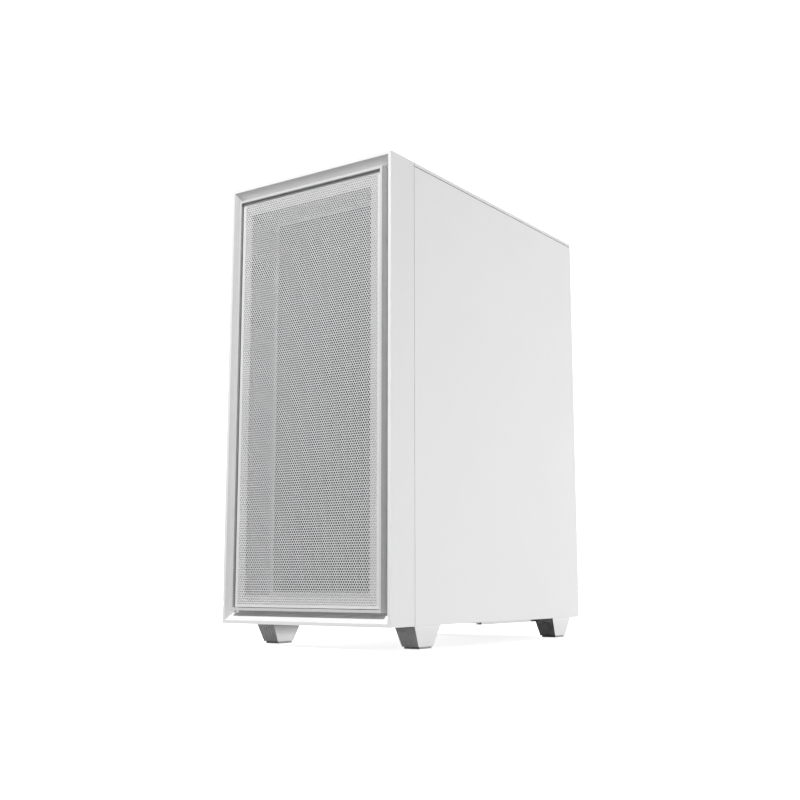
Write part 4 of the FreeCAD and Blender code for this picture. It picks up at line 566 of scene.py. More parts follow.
def grown(name, tree, item, finish, place=Matrix.Identity(4), **inputs):
    """Runs a tree on an item, makes the result a plain mesh, and moves it into place."""
    holder = bpy.data.objects.new(name, bpy.data.meshes.new(f"{name}_seed"))
    scene.collection.objects.link(holder)
    modifier = holder.modifiers.new("grow", "NODES")
    modifier.node_group = TREES[tree].group
    sockets = TREES[tree].sockets
    modifier[sockets["Item"]] = item
    modifier[sockets["Material"]] = FINISH[finish]
    for label, value in inputs.items():
        modifier[sockets[label]] = value
    depsgraph = bpy.context.evaluated_depsgraph_get()
    mesh = bpy.data.meshes.new_from_object(holder.evaluated_get(depsgraph))
    holder.modifiers.clear()
    holder.data = mesh
    mesh.transform(place)
    if place.to_3x3().determinant() < 0.0:
        mesh.flip_normals()
    return holder


def discard(item):
    """Removes an item that was only there to be repeated."""
    bpy.data.objects.remove(item)


def hex_cell(pitch, hole):
    """One six-sided cell of a flat sheet with a six-sided hole in its middle."""
    bm = bmesh.new()
    rings = []
    for radius in (pitch / math.sqrt(3.0), hole):
        turns = [math.pi / 3.0 * (i + 0.5) for i in range(6)]
        rings.append([bm.verts.new((radius * math.cos(a), radius * math.sin(a), 0.0)) for a in turns])
    band(bm, *rings)
    mesh = bpy.data.meshes.new("cell")
    bm.to_mesh(mesh)
    bm.free()
    cell = bpy.data.objects.new("cell", mesh)
    scene.collection.objects.link(cell)
    return cell


def walled(sheet, thickness):
    """Thickens a flat sheet away from its front."""
    wall = sheet.modifiers.new("wall", "SOLIDIFY")
    wall.thickness = thickness
    wall.offset = -1.0
    return sheet


def perforated(name, width, height, pitch, hole, thickness, finish, place, radius=NO_LIMIT):
    """A perforated sheet of whole cells, thickened away from its front."""
    cell = hex_cell(pitch, hole)
    sheet = grown(name, "honeycomb", cell, finish, place, Columns=int(width / pitch),
                  Rows=int(height / (pitch * ROW_RATIO)), Pitch=pitch, Radius=radius)
    discard(cell)
    return walled(sheet, thickness)


def facing(direction, up, origin):
    """A place whose local Z looks along one direction and whose local Y is up."""
    z = Vector(direction).normalized()
    y = Vector(up).normalized()
    x = y.cross(z)
    turn = Matrix((x, y, z)).transposed().to_4x4()
    return Matrix.Translation(origin) @ turn


def centre_of(node):
    """The middle of a node's box."""
    low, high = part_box(node)
    return (low + high) / 2.0


# ---------------------------------------------------------------- front panel

MESH_PITCH = 2.81 * MM
MESH_HOLE = 1.17 * MM
MESH_EDGE_GAP = 0.7 * MM
MESH_SKIN_MM = 0.02
MESH_BANDS = 3
CLOTH_DEPTH = 0.6 * MM
# Where a filter frame's ribs lie across it.
RIB_SHARES = (0.25, 0.5, 0.75)


def front_panel():
    """The moulding, the frame, the perforated sheet in three bands, and the dust filter."""
    softened("front_bezel", 0.35 * MM, "moulding")
    softened("front_mesh_frame", 0.3 * MM, "frame_coat")
    low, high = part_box("front_mesh")
    edge = Vector((MESH_EDGE_GAP, 0.0, MESH_EDGE_GAP))
    low, high = low + edge, high - edge
    row = MESH_PITCH * ROW_RATIO
    rows = int((high.z - low.z) / row) - 1
    columns = int((high.x - low.x) / MESH_PITCH) - 1
    share = math.ceil(rows / MESH_BANDS / 2) * 2
    bottom = (low.z + high.z - (rows - 1) * row) / 2.0
    cell = hex_cell(MESH_PITCH, MESH_HOLE)
    first = 0
    for number in range(MESH_BANDS):
        count = min(share, rows - first)
        middle = bottom + (first + (count - 1) / 2.0) * row
        place = facing(FORWARD, UP, ((low.x + high.x) / 2.0, low.y, middle))
        sheet = grown(f"front_mesh_band_{number + 1}", "honeycomb", cell, "mesh_coat", place,
                      Columns=columns, Rows=count, Pitch=MESH_PITCH, Radius=NO_LIMIT)
        walled(sheet, high.y - low.y)
        finish_piece(sheet, "front_panel", None, ("front_mesh",) if number == 0 else ())
        first += count
    discard(cell)
    half_x = columns * MESH_PITCH / 2.0 - MESH_PITCH / 2.0
    half_z = rows * row / 2.0 - row / 2.0
    middle = (low + high) / 2.0
    rim = surround(off(low, 0, MESH_SKIN_MM, 0), off(high, 0, -MESH_SKIN_MM, 0),
                   (middle.x - half_x, middle.x + half_x), (middle.z - half_z, middle.z + half_z))
    finish_piece(boxes("front_mesh_border", rim, 0.1 * MM, 1), "front_panel", "mesh_coat")
    low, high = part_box("front_dust_filter")
    rim = 5.0 * MM
    back = high.y - 0.2 * MM
    limits = surround(low, (high.x, back, high.z), (low.x + rim, high.x - rim),
                      (low.z + rim, high.z - rim))
    for share in RIB_SHARES:
        z = low.z + (high.z - low.z) * share
        limits.append(((low.x + rim, low.y, z - rim / 4), (high.x - rim, back, z + rim / 4)))
    cloth = boxes("front_filter_cloth", [((low.x + rim, low.y + CLOTH_DEPTH, low.z + rim),
                                          (high.x - rim, back - CLOTH_DEPTH, high.z - rim))],
                  0.05 * MM, 1)
    finish_piece(cloth, "front_panel", "dust_cloth", ("front_dust_filter",))
    frame_piece = boxes("front_filter_frame", limits, 0.4 * MM)
    finish_piece(frame_piece, "front_panel", "black_plastic")


# ---------------------------------------------------------------- case

def case_shell():
    """Panels, cover, chassis sheets and feet with rounded edges."""
    softened("right_side_panel", 0.3 * MM, "powder", segments=3)
    softened("left_panel_frame", 0.3 * MM, "powder")
    softened("left_panel_glass", 0.7 * MM, "glass", segments=3)
    softened("top_cover", 0.4 * MM, "moulding", segments=3)
    softened("psu_shroud", 0.35 * MM, "inner_powder")
    softened("motherboard_tray", 0.3 * MM, "inner_powder")
    for node in ("chassis_front_plate", "chassis_top_plate", "chassis_bottom_plate", "chassis_rear_plate"):
        softened(node, 0.25 * MM, "inner_powder")
    softened("drive_cage", 0.25 * MM, "inner_powder")
    for node in ("foot_front_left", "foot_front_right", "foot_rear_left", "foot_rear_right"):
        softened(node, 0.45 * MM, "moulding", segments=3)
    softened("foot_pads", 0.4 * MM, "rubber")
    for node in ("power_button", "reset_button"):
        softened(node, 0.6 * MM, "satin_button", segments=3)


def rear_grille():
    """The round honeycomb guard over the rear fan, and its rim."""
    centre = centre_of("rear_fan_rotor")
    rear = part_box("chassis_rear_plate")[1].y
    radius = 57.5 * MM
    thickness = 1.0 * MM
    place = facing(BACKWARD, UP, (centre.x, rear, centre.z))
    guard = perforated("rear_fan_guard", radius * 2, radius * 2, 6.4 * MM, 3.2 * MM, thickness,
                       "inner_powder", place, radius - 2.2 * MM)
    finish_piece(guard, "chassis", None)
    inner, outer = radius - 4.0 * MM, radius + 0.05 * MM
    near, far = 0.05 * MM, 0.95 * MM
    rim = lathe("rear_fan_guard_rim", [(inner, near), (outer, near), (outer, far), (inner, far),
                                       (inner, near)],
                (centre.x, rear - thickness, centre.z), BACKWARD, 96)
    finish_piece(rim, "chassis", "inner_powder")


SCREW_SIDES = 20
FAN_SCREW_INSET = 7.5 * MM
COVER_PITCH = 4.1 * MM


def screw_head(name, radius, height):
    """A low round screw head with a cross recess, lying with its seat at local Z = 0."""
    bm = bmesh.new()
    profile = ((1.0, 0.0), (1.0, 0.45), (0.82, 0.85), (0.5, 1.0))
    rings = [circle(bm, radius * out, height * up, SCREW_SIDES) for out, up in profile]
    for lower, upper in zip(rings, rings[1:]):
        band(bm, lower, upper)
    bm.faces.new(list(reversed(rings[0])))
    arm, half = radius * 0.42, radius * 0.1
    cross = [(arm, half), (half, half), (half, arm)]
    for _ in range(3):
        cross += [(-y, x) for x, y in cross[-3:]]
    edge = [bm.verts.new((x, y, height)) for x, y in cross]
    pit = [bm.verts.new((x * 0.8, y * 0.8, height * 0.35)) for x, y in cross]
    band(bm, edge, pit)
    bm.faces.new(pit)
    edges = [bm.edges.get(pair) for ring in (edge, rings[-1]) for pair in zip(ring, ring[1:] + ring[:1])]
    bmesh.ops.triangle_fill(bm, edges=edges, use_beauty=True)
    piece = mesh_piece(name, bm)
    smooth(piece, 40.0)
    return piece


def screws(name, body, finish, radius, height, axis, places):
    """Equal screws with their seats at the given places, as one piece."""
    heads = []
    for place in places:
        heads.append(screw_head("head", radius, height))
        heads[-1].data.transform(along(axis, place))
    return finish_piece(joined(name, heads), body, finish)


# ---------------------------------------------------------------- fans

BLADE_COUNT = 9
PADDED_FRAMES = ("rear_fan_frame", "cooler_fan_frame")
FRAMES = ("front_fan_frame_lower", "front_fan_frame_middle", "front_fan_frame_upper") + PADDED_FRAMES
LARGE_ROTORS = ("front_fan_rotor_lower", "front_fan_rotor_middle", "front_fan_rotor_upper",
                "rear_fan_rotor", "cooler_fan_rotor", "psu_fan_rotor")
CARD_ROTORS = ("graphics_fan_rotor_front", "graphics_fan_rotor_rear")
# A rotor's hub radius, blade tip radius, blade width and depth.
LARGE_FAN = (20 * MM, 55.6 * MM, 27 * MM, 20 * MM)
CARD_FAN = (14 * MM, 41.5 * MM, 21 * MM, 13 * MM)


def spin_of(node):
    """The joint that a rotor turns on."""
    joint = node.replace("rotor", "spin")
    return next(j for j in frame["joints"] if j["name"] == joint)


def blade(hub, tip, chord, rise, lean):
    """One curved, twisted blade along local X, closed all round; local Z is the fan's axis."""
    bm = bmesh.new()
    spans, steps = 8, 7
    root = hub * 0.97
    sides = []
    for face in (1.0, -1.0):
        grid = []
        for i in range(spans + 1):
            share = i / spans
            radius = root + (tip - root) * share
            pitch = math.radians(46.0 - 20.0 * share)
            width = chord * (0.78 + 0.42 * share - 0.12 * share ** 3)
            line = []
            for k in range(steps + 1):
                u = k / steps - 0.5
                camber = 0.10 * width * (1.0 - (2.0 * u) ** 2)
                thick = 0.5 * (1.9 * MM - 0.9 * MM * share) * (1.0 - (2.0 * abs(u)) ** 3 * 0.7)
                across = width * u * math.cos(pitch) - (camber + face * thick) * math.sin(pitch)
                along = width * u * math.sin(pitch) + (camber + face * thick) * math.cos(pitch)
                angle = across / radius + lean * share ** 1.5
                line.append(bm.verts.new((radius * math.cos(angle), radius * math.sin(angle), rise + along)))
            grid.append(line)
        sides.append(grid)
    for grid in sides:
        for i in range(spans):
            for k in range(steps):
                bm.faces.new((grid[i][k], grid[i + 1][k], grid[i + 1][k + 1], grid[i][k + 1]))
    upper, lower = sides
    for i in range(spans):
        for k in (0, steps):
            bm.faces.new((upper[i][k], upper[i + 1][k], lower[i + 1][k], lower[i][k]))
    for k in range(steps):
        for i in (0, spans):
            bm.faces.new((upper[i][k], upper[i][k + 1], lower[i][k + 1], lower[i][k]))
    piece = mesh_piece("blade", bm)
    smooth(piece, 60.0)
    return piece


def rotor(node, hub, tip, chord, depth):
    """A hub with curved blades, in place of a CAD rotor."""
    spin = spin_of(node)
    low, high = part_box(node)
    axis = Vector(spin["axis"]).normalized()
    inlet = max(low.dot(axis), high.dot(axis))
    centre = Vector(spin["pos_m"])
    centre = centre + axis * (inlet - centre.dot(axis))
    leaf = blade(hub, tip, chord, -depth * 0.52, 0.35)
    ring = grown(f"{node}_blades", "ring", leaf, "blade_plastic", along(axis, centre), Count=BLADE_COUNT)
    discard(leaf)
    smooth(ring, 50.0)
    finish_piece(ring, node, None, (node,))
    rim = 1.6 * MM
    stub = 1.4 * MM
    cap = lathe(f"{node}_hub", [
        (0.0, -0.2 * MM), (hub * 0.62, -0.2 * MM), (hub * 0.66, -0.5 * MM), (hub - rim, -0.5 * MM),
        (hub - rim * 0.3, -rim * 0.4), (hub, -rim), (hub, -depth * 0.9), (hub - rim, -depth * 0.94),
        (stub, -depth * 0.94), (stub, -depth), (0.0, -depth)], centre, axis, 64)
    finish_piece(cap, node, "blade_plastic")


def fans():
    """All the fans: eight rotors, five frames, and the rubber corners of two."""
    for node in LARGE_ROTORS:
        rotor(node, *LARGE_FAN)
    for node in CARD_ROTORS:
        rotor(node, *CARD_FAN)
    for node in FRAMES:
        softened(node, 0.5 * MM, "black_plastic")
    corner_pads()


def corner_pads():
    """Rubber pads on the corners of the open faces of the rear and the cooler's fan frames."""
    outline = mm((2.6, -0.4), (6.2, -0.4), (6.2, 0.25), (5.9, 0.5), (2.6, 0.5), (2.6, -0.4))
    for node in PADDED_FRAMES:
        low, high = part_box(node)
        places = corners(low, high, FAN_SCREW_INSET, low.y)
        pads = [lathe("pad", outline, place, FORWARD, 32) for place in places]
        finish_piece(joined(f"{node}_pads", pads), "chassis", "rubber")


# ---------------------------------------------------------------- rear

def slot_covers():
    """Perforated covers with bent ends over the free expansion windows."""
    node = NODES["expansion_slot_covers"]
    low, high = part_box("expansion_slot_covers")
    count = 5
    rows = 3
    half = 18.4 * MM / 2
    step = (high.z - low.z - 18.4 * MM) / (count - 1)
    sheet = 1.0 * MM
    face = low.y + sheet
    window = (low.x + 9 * MM, high.x - 7 * MM)
    middle = (window[0] + window[1]) / 2
    columns = int((window[1] - window[0]) / COVER_PITCH) - 1
    half_x = (columns * 4.1 - 2.1) / 2 * MM
    half_z = (rows * 4.1 * ROW_RATIO - 1.2) / 2 * MM
    cell = hex_cell(COVER_PITCH, 1.65 * MM)
    limits, strips = [], []
    for i in range(count):
        z = low.z + half + step * i
        place = facing(BACKWARD, UP, (middle, face, z))
        strips.append(grown("strip", "honeycomb", cell, "inner_powder", place, Columns=columns, Rows=rows,
                            Pitch=COVER_PITCH, Radius=1.0))
        limits += surround((low.x + sheet, low.y, z - half), (high.x, face, z + half),
                           (middle - half_x, middle + half_x), (z - half_z, z + half_z))
        limits.append(((low.x, low.y, z - half), (low.x + sheet, high.y, z + half)))
    discard(cell)
    for number, strip in enumerate(strips, start=1):
        strip.name = f"slot_cover_holes_{number}"
        finish_piece(walled(strip, sheet * 0.9), "chassis", None)
    finish_piece(boxes("slot_cover_plates", limits, 0.2 * MM), "chassis", "powder",
                 (node.name,))


def rear_screws():
    """The slot screws, and the screws of the rear fan and the power supply."""
    low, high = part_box("slot_cover_screws")
    head = 3.2 * MM
    step = (high.z - low.z - 2 * head) / 6
    y = (low.y + high.y) / 2
    thumb = []
    for i in range(7):
        thumb.append(lathe("thumb", [
            (0.0, 0.0), (head, 0.0), (head, 0.4 * MM), (head * 0.94, 0.55 * MM), (head, 0.7 * MM),
            (head, 1.9 * MM), (head * 0.86, 2.4 * MM), (head * 0.5, 2.6 * MM), (head * 0.44, 2.0 * MM),
            (0.0, 2.0 * MM)], (low.x + 3.0 * MM, y, low.z + head + step * i), LEFT, 28))
    heads = joined("slot_screw_heads", thumb)
    finish_piece(heads, "chassis", "black_zinc", ("slot_cover_screws",))
    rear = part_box("chassis_rear_plate")[1].y
    places = corners(*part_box("rear_fan_frame"), FAN_SCREW_INSET, rear)
    screws("rear_fan_screws", "chassis", "black_zinc", 3.4 * MM, 1.5 * MM, BACKWARD, places)
    places = corners(*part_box("psu_housing"), 2.0 * MM, rear)
    screws("psu_screws", "chassis", "black_zinc", 1.9 * MM, 1.1 * MM, BACKWARD, places)


def power_supply():
    """The power supply's rear grille, inlet pins and switch."""
    softened("psu_housing", 0.3 * MM, "dark_anodised")
    softened("psu_inlet", 0.3 * MM, "black_plastic")
    softened("psu_rocker_switch", 0.3 * MM, "black_plastic")
    low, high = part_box("psu_housing")
    edge = 6 * MM
    sheet = 0.55 * MM
    x = (low.x + edge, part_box("psu_rocker_switch")[0].x - edge)
    z = (low.z + edge, high.z - edge)
    place = facing(BACKWARD, UP, ((x[0] + x[1]) / 2, high.y + sheet, (z[0] + z[1]) / 2))
    grille = perforated("psu_rear_grille", x[1] - x[0], z[1] - z[0], 5.6 * MM, 2.5 * MM, sheet,
                        "grille_steel", place)
    finish_piece(grille, "chassis", None)
    # A near-black plate just behind the grille: painted shade, so that the grille's holes read dark.
    limits = [((x[0], high.y + 0.01 * MM, z[0]), (x[1], high.y + 0.05 * MM, z[1]))]
    shade_plate = boxes("psu_grille_backing", limits, 0.01 * MM, 1)
    finish_piece(shade_plate, "chassis", "black_plastic")
    low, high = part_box("psu_inlet")
    middle = (low + high) / 2
    pins = []
    for dx, dz in ((-7.0, -1.5), (7.0, -1.5), (0.0, 2.5)):
        x, z = middle.x + dx * MM, middle.z + dz * MM
        pins.append((off((x, low.y, z), -1.0, 5, -2.0), off((x, high.y, z), 1.0, -3, 2.0)))
    finish_piece(boxes("inlet_pins", pins, 0.3 * MM), "chassis", "bright_steel")


def rear_sockets():
    """Tongues in the rear sockets, and bright rings round the sound sockets."""
    softened("rear_io_ports", 0.2 * MM, "bright_steel")
    softened("rear_io_shield", 0.15 * MM, "dark_anodised")
    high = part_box("rear_io_ports")[1]
    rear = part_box("chassis_rear_plate")[1].y
    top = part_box("rear_io_shield")[1].z - 2.0 * MM
    blue, black = [], []
    for drop, tall, wide, where in ((12.0, 16.0, 11.0, blue), (58.0, 30.0, 11.0, blue),
                                    (102.0, 30.0, 11.0, black), (35.0, 20.0, 10.0, black)):
        for row in range(2):
            x = high.x - tall * MM + (1.5 + 2.0) * MM + row * tall / 2 * MM
            spot = (x, rear, top - drop * MM)
            where.append((off(spot, 0, -11.9, -wide / 2), off(spot, 1.7, -1.2, wide / 2)))
    finish_piece(boxes("usb_tongues_blue", blue, 0.2 * MM), "chassis", "socket_blue")
    finish_piece(boxes("usb_tongues_black", black, 0.2 * MM), "chassis", "black_plastic")
    outline = mm((1.8, -6.0), (3.3, -6.0), (3.3, 0.15), (2.9, 0.4), (2.1, 0.4), (1.8, 0.1), (1.8, -6.0))
    rings = []
    for row in range(2):
        for line in range(3):
            place = off((high.x, high.y, top), -(7.0 + 13.0 * line), -0.3, -(124.0 + 13.0 * row))
            rings.append(lathe("ring", outline, place, BACKWARD, 32))
    finish_piece(joined("sound_socket_rings", rings), "chassis", "gold")


# ---------------------------------------------------------------- top

def top_details():
    """The top filter's frame and perforated sheet, and the front sockets' tongues."""
    low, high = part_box("top_filter")
    rim = 7.0 * MM
    rib = 1.6 * MM
    middle = (low + high) / 2
    limits = surround(low, high, (low.x + rim, high.x - rim), (low.y + rim, high.y - rim), 1)
    for share in (1 / 3, 2 / 3):
        y = low.y + (high.y - low.y) * share
        limits.append(((low.x + rim, y - rib, low.z), (high.x - rim, y + rib, high.z - 0.9 * MM)))
    limits.append(((middle.x - rib, low.y + rim, low.z), (middle.x + rib, high.y - rim, high.z - 1.0 * MM)))
    finish_piece(boxes("top_filter_frame", limits, 0.35 * MM), "top_filter", "moulding",
                 ("top_filter",))
    place = facing(UP, BACKWARD, (middle.x, middle.y, high.z - 0.25 * MM))
    sheet = perforated("top_filter_sheet", high.x - low.x - 2 * rim + 5 * MM,
                       high.y - low.y - 2 * rim + 5 * MM, 3.3 * MM, 1.2 * MM, 0.4 * MM, "mesh_coat", place)
    finish_piece(sheet, "top_filter", None)
    low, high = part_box("front_io_ports")
    softened("front_io_ports", 0.15 * MM, "bright_steel")
    line = (low.y + high.y) / 2
    tongues = []
    for x, wide, thick in ((18.0, 11.0, 1.8), (-2.0, 11.0, 1.8), (-20.0, 6.2, 0.8)):
        shift = 1.2 * MM if thick > 1.0 else 0.0
        half = thick / 2 * MM
        tongues.append((((x - wide / 2) * MM, line - shift - half, high.z - 11.8 * MM),
                        ((x + wide / 2) * MM, line - shift + half, high.z - 0.9 * MM)))
    finish_piece(boxes("front_usb_tongues", tongues, 0.15 * MM), "chassis", "black_plastic")
    outline = mm((1.8, -5.0), (3.2, -5.0), (3.2, -0.3), (2.9, -0.1), (2.0, -0.1), (1.8, -0.4), (1.8, -5.0))
    rings = [lathe("ring", outline, (x * MM, line, high.z + 0.15 * MM), UP, 32) for x in (-36.0, -50.0)]
    finish_piece(joined("front_sound_rings", rings), "chassis", "black_plastic")
    for body, x, r in (("power_button", 56.0, 3.4), ("reset_button", 38.0, 1.2)):
        inner, outer = r * 0.72 * MM, r * MM
        outline = [(inner, -0.3 * MM), (outer, -0.3 * MM), (outer, 0.0), (inner, 0.0), (inner, -0.3 * MM)]
        mark = lathe(f"{body}_ring", outline, (x * MM, line, high.z + 0.12 * MM), UP, 40)
        finish_piece(mark, body, "bright_steel")


# ---------------------------------------------------------------- inside

def bottom_filter():
    """The sliding filter: a frame with ribs, its cloth and its handle."""
    low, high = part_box("psu_filter")
    rear = high.y - 5.0 * MM
    rim = 6.0 * MM
    limits = surround(low, (high.x, rear, high.z), (low.x + rim, high.x - rim),
                      (low.y + rim, rear - rim), 1)
    limits.append(((-20 * MM, rear - 0.5 * MM, low.z), (20 * MM, high.y, high.z)))
    for share in RIB_SHARES:
        x = low.x + (high.x - low.x) * share
        limits.append(((x - 1.0 * MM, low.y + rim, low.z), (x + 1.0 * MM, rear - rim, high.z)))
    finish_piece(boxes("psu_filter_frame", limits, 0.3 * MM), "bottom_filter", "black_plastic",
                 ("psu_filter",))
    cloth = boxes("psu_filter_cloth", [((low.x + rim, low.y + rim, low.z + 0.7 * MM),
                                        (high.x - rim, rear - rim, high.z - 0.7 * MM))], 0.05 * MM, 1)
    finish_piece(cloth, "bottom_filter", "dust_cloth")


# Name, length, width, height, count, grid step, finish and seed of what is strewn over the board, in mm.
BOARD_PARTS = (
    ("chip_resistors", 1.0, 0.6, 0.5, 620, 1.5, "amber", 3),
    ("chip_capacitors", 1.6, 1.0, 0.9, 380, 2.4, "socket_tan", 11),
    ("small_chips", 4.6, 4.0, 1.1, 46, 9.5, "black_plastic", 23),
    ("inductors", 6.5, 6.5, 3.8, 12, 12.0, "dark_anodised", 31),
)


def boards():
    """The motherboard with its components, slots, memory and metal coolers."""
    softened("motherboard", 0.2 * MM, "board")
    softened("graphics_card_board", 0.2 * MM, "board")
    softened("motherboard_slots", 0.3 * MM, "black_plastic")
    low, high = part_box("motherboard")
    face = low.x
    edge = 16 * MM
    place = facing(LEFT, UP, (face, (low.y + high.y) / 2, (low.z + high.z) / 2))
    for name, long, wide, tall, count, grid, finish, seed in BOARD_PARTS:
        limits = mm((-long / 2, -wide / 2, -0.1), (long / 2, wide / 2, tall))
        part = boxes("part", [limits], 0.12 * MM, 1)
        field = grown(f"board_{name}", "scatter", part, finish, place, Count=count,
                      Width=high.y - low.y - edge, Length=high.z - low.z - edge, Grid=grid * MM, Seed=seed)
        discard(part)
        smooth(field)
        finish_piece(field, "chassis", None)
    can = lathe("can", mm((0.0, 0.0), (3.0, 0.0), (3.0, 0.9), (2.7, 1.2), (3.0, 1.5), (3.0, 6.6),
                          (2.6, 7.0), (0.0, 7.0)), (0, 0, 0), UP, 20)
    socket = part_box("processor_socket")[0]
    for name, y, z, step, count in (
        ("by_processor", socket.y - 9 * MM, socket.z - 16 * MM, 8.0, 8),
        ("by_sound", low.y + 30 * MM, low.z + 12 * MM, 9.0, 6),
        ("by_memory", low.y + 40 * MM, high.z - 8 * MM, 9.0, 4),
    ):
        row = grown(f"capacitors_{name}", "row", can, "brushed", facing(LEFT, UP, (face, y, z)),
                    Count=count, Step=(-step * MM, 0.0, 0.0))
        smooth(row)
        finish_piece(row, "chassis", None)
    discard(can)
    heatsink_fins()
    memory()


def heatsink_fins():
    """The board coolers, with a row of fins on the one by the sockets."""
    softened("motherboard_heatsinks", 1.2 * MM, "dark_anodised", segments=3)
    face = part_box("motherboard_heatsinks")[0].x
    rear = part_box("motherboard")[1].y
    low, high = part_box("processor_socket")
    fin = boxes("fin", [mm((0.0, 0.0, 0.0), (1.3, 18.6, 1.1))], 0.3 * MM, 1)
    place = Matrix.Translation(off((face, rear - 44 * MM, (low.z + high.z) / 2), -0.8, -0.3, -32))
    fins = grown("rear_cooler_fins", "row", fin, "dark_anodised", place, Count=20,
                 Step=(0.0, 0.0, 3.4 * MM))
    discard(fin)
    smooth(fins)
    finish_piece(fins, "chassis", None)


def memory():
    """Memory modules with stepped, grooved spreaders, and their boards."""
    low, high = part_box("memory_modules")
    half = 6.0 * MM / 2
    bar = 7 * MM
    spreaders, cards, bars = [], [], []
    slot_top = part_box("motherboard")[0].x - 8.0 * MM
    for y in (low.y + half, high.y - half):
        spreaders.append(((low.x + 2.2 * MM, y - half, low.z), (slot_top, y + half, high.z)))
        for i in range(11):
            z = low.z + 6 * MM + i * (high.z - low.z - 12 * MM - bar) / 10
            bars.append(((low.x, y - half + 0.6 * MM, z),
                         (low.x + 2.6 * MM, y + half - 0.6 * MM, z + bar)))
        cards.append((off((slot_top, y, low.z), 0, -0.8, 1), off((high.x, y, high.z), 0, 0.8, -1)))
    finish_piece(boxes("memory_spreaders", spreaders, 0.8 * MM, 3), "chassis", "satin_button",
                 ("memory_modules",))
    finish_piece(boxes("memory_top_bars", bars, 0.5 * MM), "chassis", "dark_anodised")
    finish_piece(boxes("memory_boards", cards, 0.1 * MM, 1), "chassis", "board")


def cooling_fin(depth, width):
    """One thin upright fin whose front and rear edges step in and out."""
    bm = bmesh.new()
    outline = []
    for side in (-1, 1):
        for k in range(7):
            z = -width / 2 + width * k / 6
            outline.append((side * (depth / 2 - (1.6 * MM if k % 2 else 0.0)), z if side < 0 else -z))
    face = [bm.verts.new((0.0, y, z)) for y, z in outline]
    back = [bm.verts.new((0.45 * MM, y, z)) for y, z in outline]
    bm.faces.new(face)
    bm.faces.new(list(reversed(back)))
    for i in range(len(outline)):
        j = (i + 1) % len(outline)
        bm.faces.new((face[i], back[i], back[j], face[j]))
    return mesh_piece("fin", bm)


def cooler():
    """The processor's cooler: thin stepped fins, round pipes with end caps, a top plate and a base."""
    low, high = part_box("cooler_heatsink")
    middle = (low + high) / 2
    fins_high = low.x + 4.5 * MM * 23 + 0.8 * MM
    count = 50
    step = (fins_high - low.x - 0.5 * MM) / (count - 1)
    fin = cooling_fin(high.y - low.y, high.z - low.z)
    place = Matrix.Translation((low.x, middle.y, middle.z))
    stack = grown("cooler_fins", "row", fin, "brushed", place, Count=count, Step=(step, 0.0, 0.0))
    discard(fin)
    finish_piece(stack, "chassis", None, ("cooler_heatsink",))
    outline = mm((0.0, 0.0), (2.9, 0.0), (2.6, 1.2), (1.2, 2.2), (0.0, 2.4))
    pipes, caps = [], []
    for i in range(4):
        y = middle.y + 9.0 * MM * (i - 1.5)
        for dz in (-22.0, 22.0):
            points = [off((x, y, middle.z), dx, 0, dz * share) for x, dx, share in (
                (low.x, -1.5, 1), (fins_high, 8, 1), (high.x, -16, 0.42), (high.x, -5, 0.12))]
            pipes.append(tube("pipe", points, 3.0 * MM))
            caps.append(lathe("cap", outline, off((low.x, y, middle.z), -1.4, 0, dz), LEFT, 24))
    finish_piece(joined("cooler_heat_pipes", pipes), "chassis", "copper")
    finish_piece(joined("cooler_pipe_caps", caps), "chassis", "copper")
    foot = (high.x, middle.y, middle.z)
    base = boxes("cooler_base", [(off(foot, -9, -22.5, -22.5), off(foot, 0, 22.5, 22.5)),
                                 (off(foot, -13, -18.0, -11.25), off(foot, -8.9, 18.0, 11.25))],
                 0.8 * MM, 3)
    finish_piece(base, "chassis", "brushed")
    plate = [(off(low, -1.2, 0.8, 0.8), off((low.x, high.y, high.z), -0.1, -0.8, -0.8))]
    finish_piece(boxes("cooler_top_plate", plate, 0.6 * MM, 3), "chassis", "powder")
    softened("processor_socket", 0.5 * MM, "bright_steel")


def smooth_path(points, steps=14):
    """Points along a Catmull-Rom curve through a route."""
    spots = [Vector(p) for p in points]
    spots = [spots[0] * 2 - spots[1]] + spots + [spots[-1] * 2 - spots[-2]]
    path = []
    for a, b, c, e in zip(spots, spots[1:], spots[2:], spots[3:]):
        for i in range(steps):
            t = i / steps
            path.append(0.5 * ((2 * b) + (c - a) * t + (2 * a - 5 * b + 4 * c - e) * t * t
                               + (3 * b - a - 3 * c + e) * t * t * t))
    path.append(spots[-2])
    return path


def tube(name, points, radius, sides=14):
    """A round tube through a route, closed at both ends."""
    path = smooth_path(points)
    bm = bmesh.new()
    rings = []
    across = (path[1] - path[0]).normalized().orthogonal().normalized()
    turns = [2 * math.pi * k / sides for k in range(sides)]
    for i, spot in enumerate(path):
        heading = (path[min(i + 1, len(path) - 1)] - path[max(i - 1, 0)]).normalized()
        across = (across - heading * across.dot(heading)).normalized()
        other = heading.cross(across)
        rings.append([bm.verts.new(spot + (across * math.cos(a) + other * math.sin(a)) * radius)
                      for a in turns])
    for lower, upper in zip(rings, rings[1:]):
        band(bm, lower, upper)
    bm.faces.new(list(reversed(rings[0])))
    bm.faces.new(rings[-1])
    piece = mesh_piece(name, bm)
    smooth(piece, 60.0)
    return piece


def wires(name, node, points, spread, count, radius):
    """A bundle of sleeved wires side by side along a route, in place of a CAD cable."""
    strands = []
    random.seed(5)
    for k in range(count):
        offset = (k - (count - 1) / 2) * spread
        sag = [random.uniform(-0.5, 0.5) * MM for _ in points]
        line = [(x + s, y, z + offset) for (x, y, z), s in zip(points, sag)]
        strands.append(tube("strand", line, radius))
    finish_piece(joined(name, strands), "chassis", "sleeve", (node,))


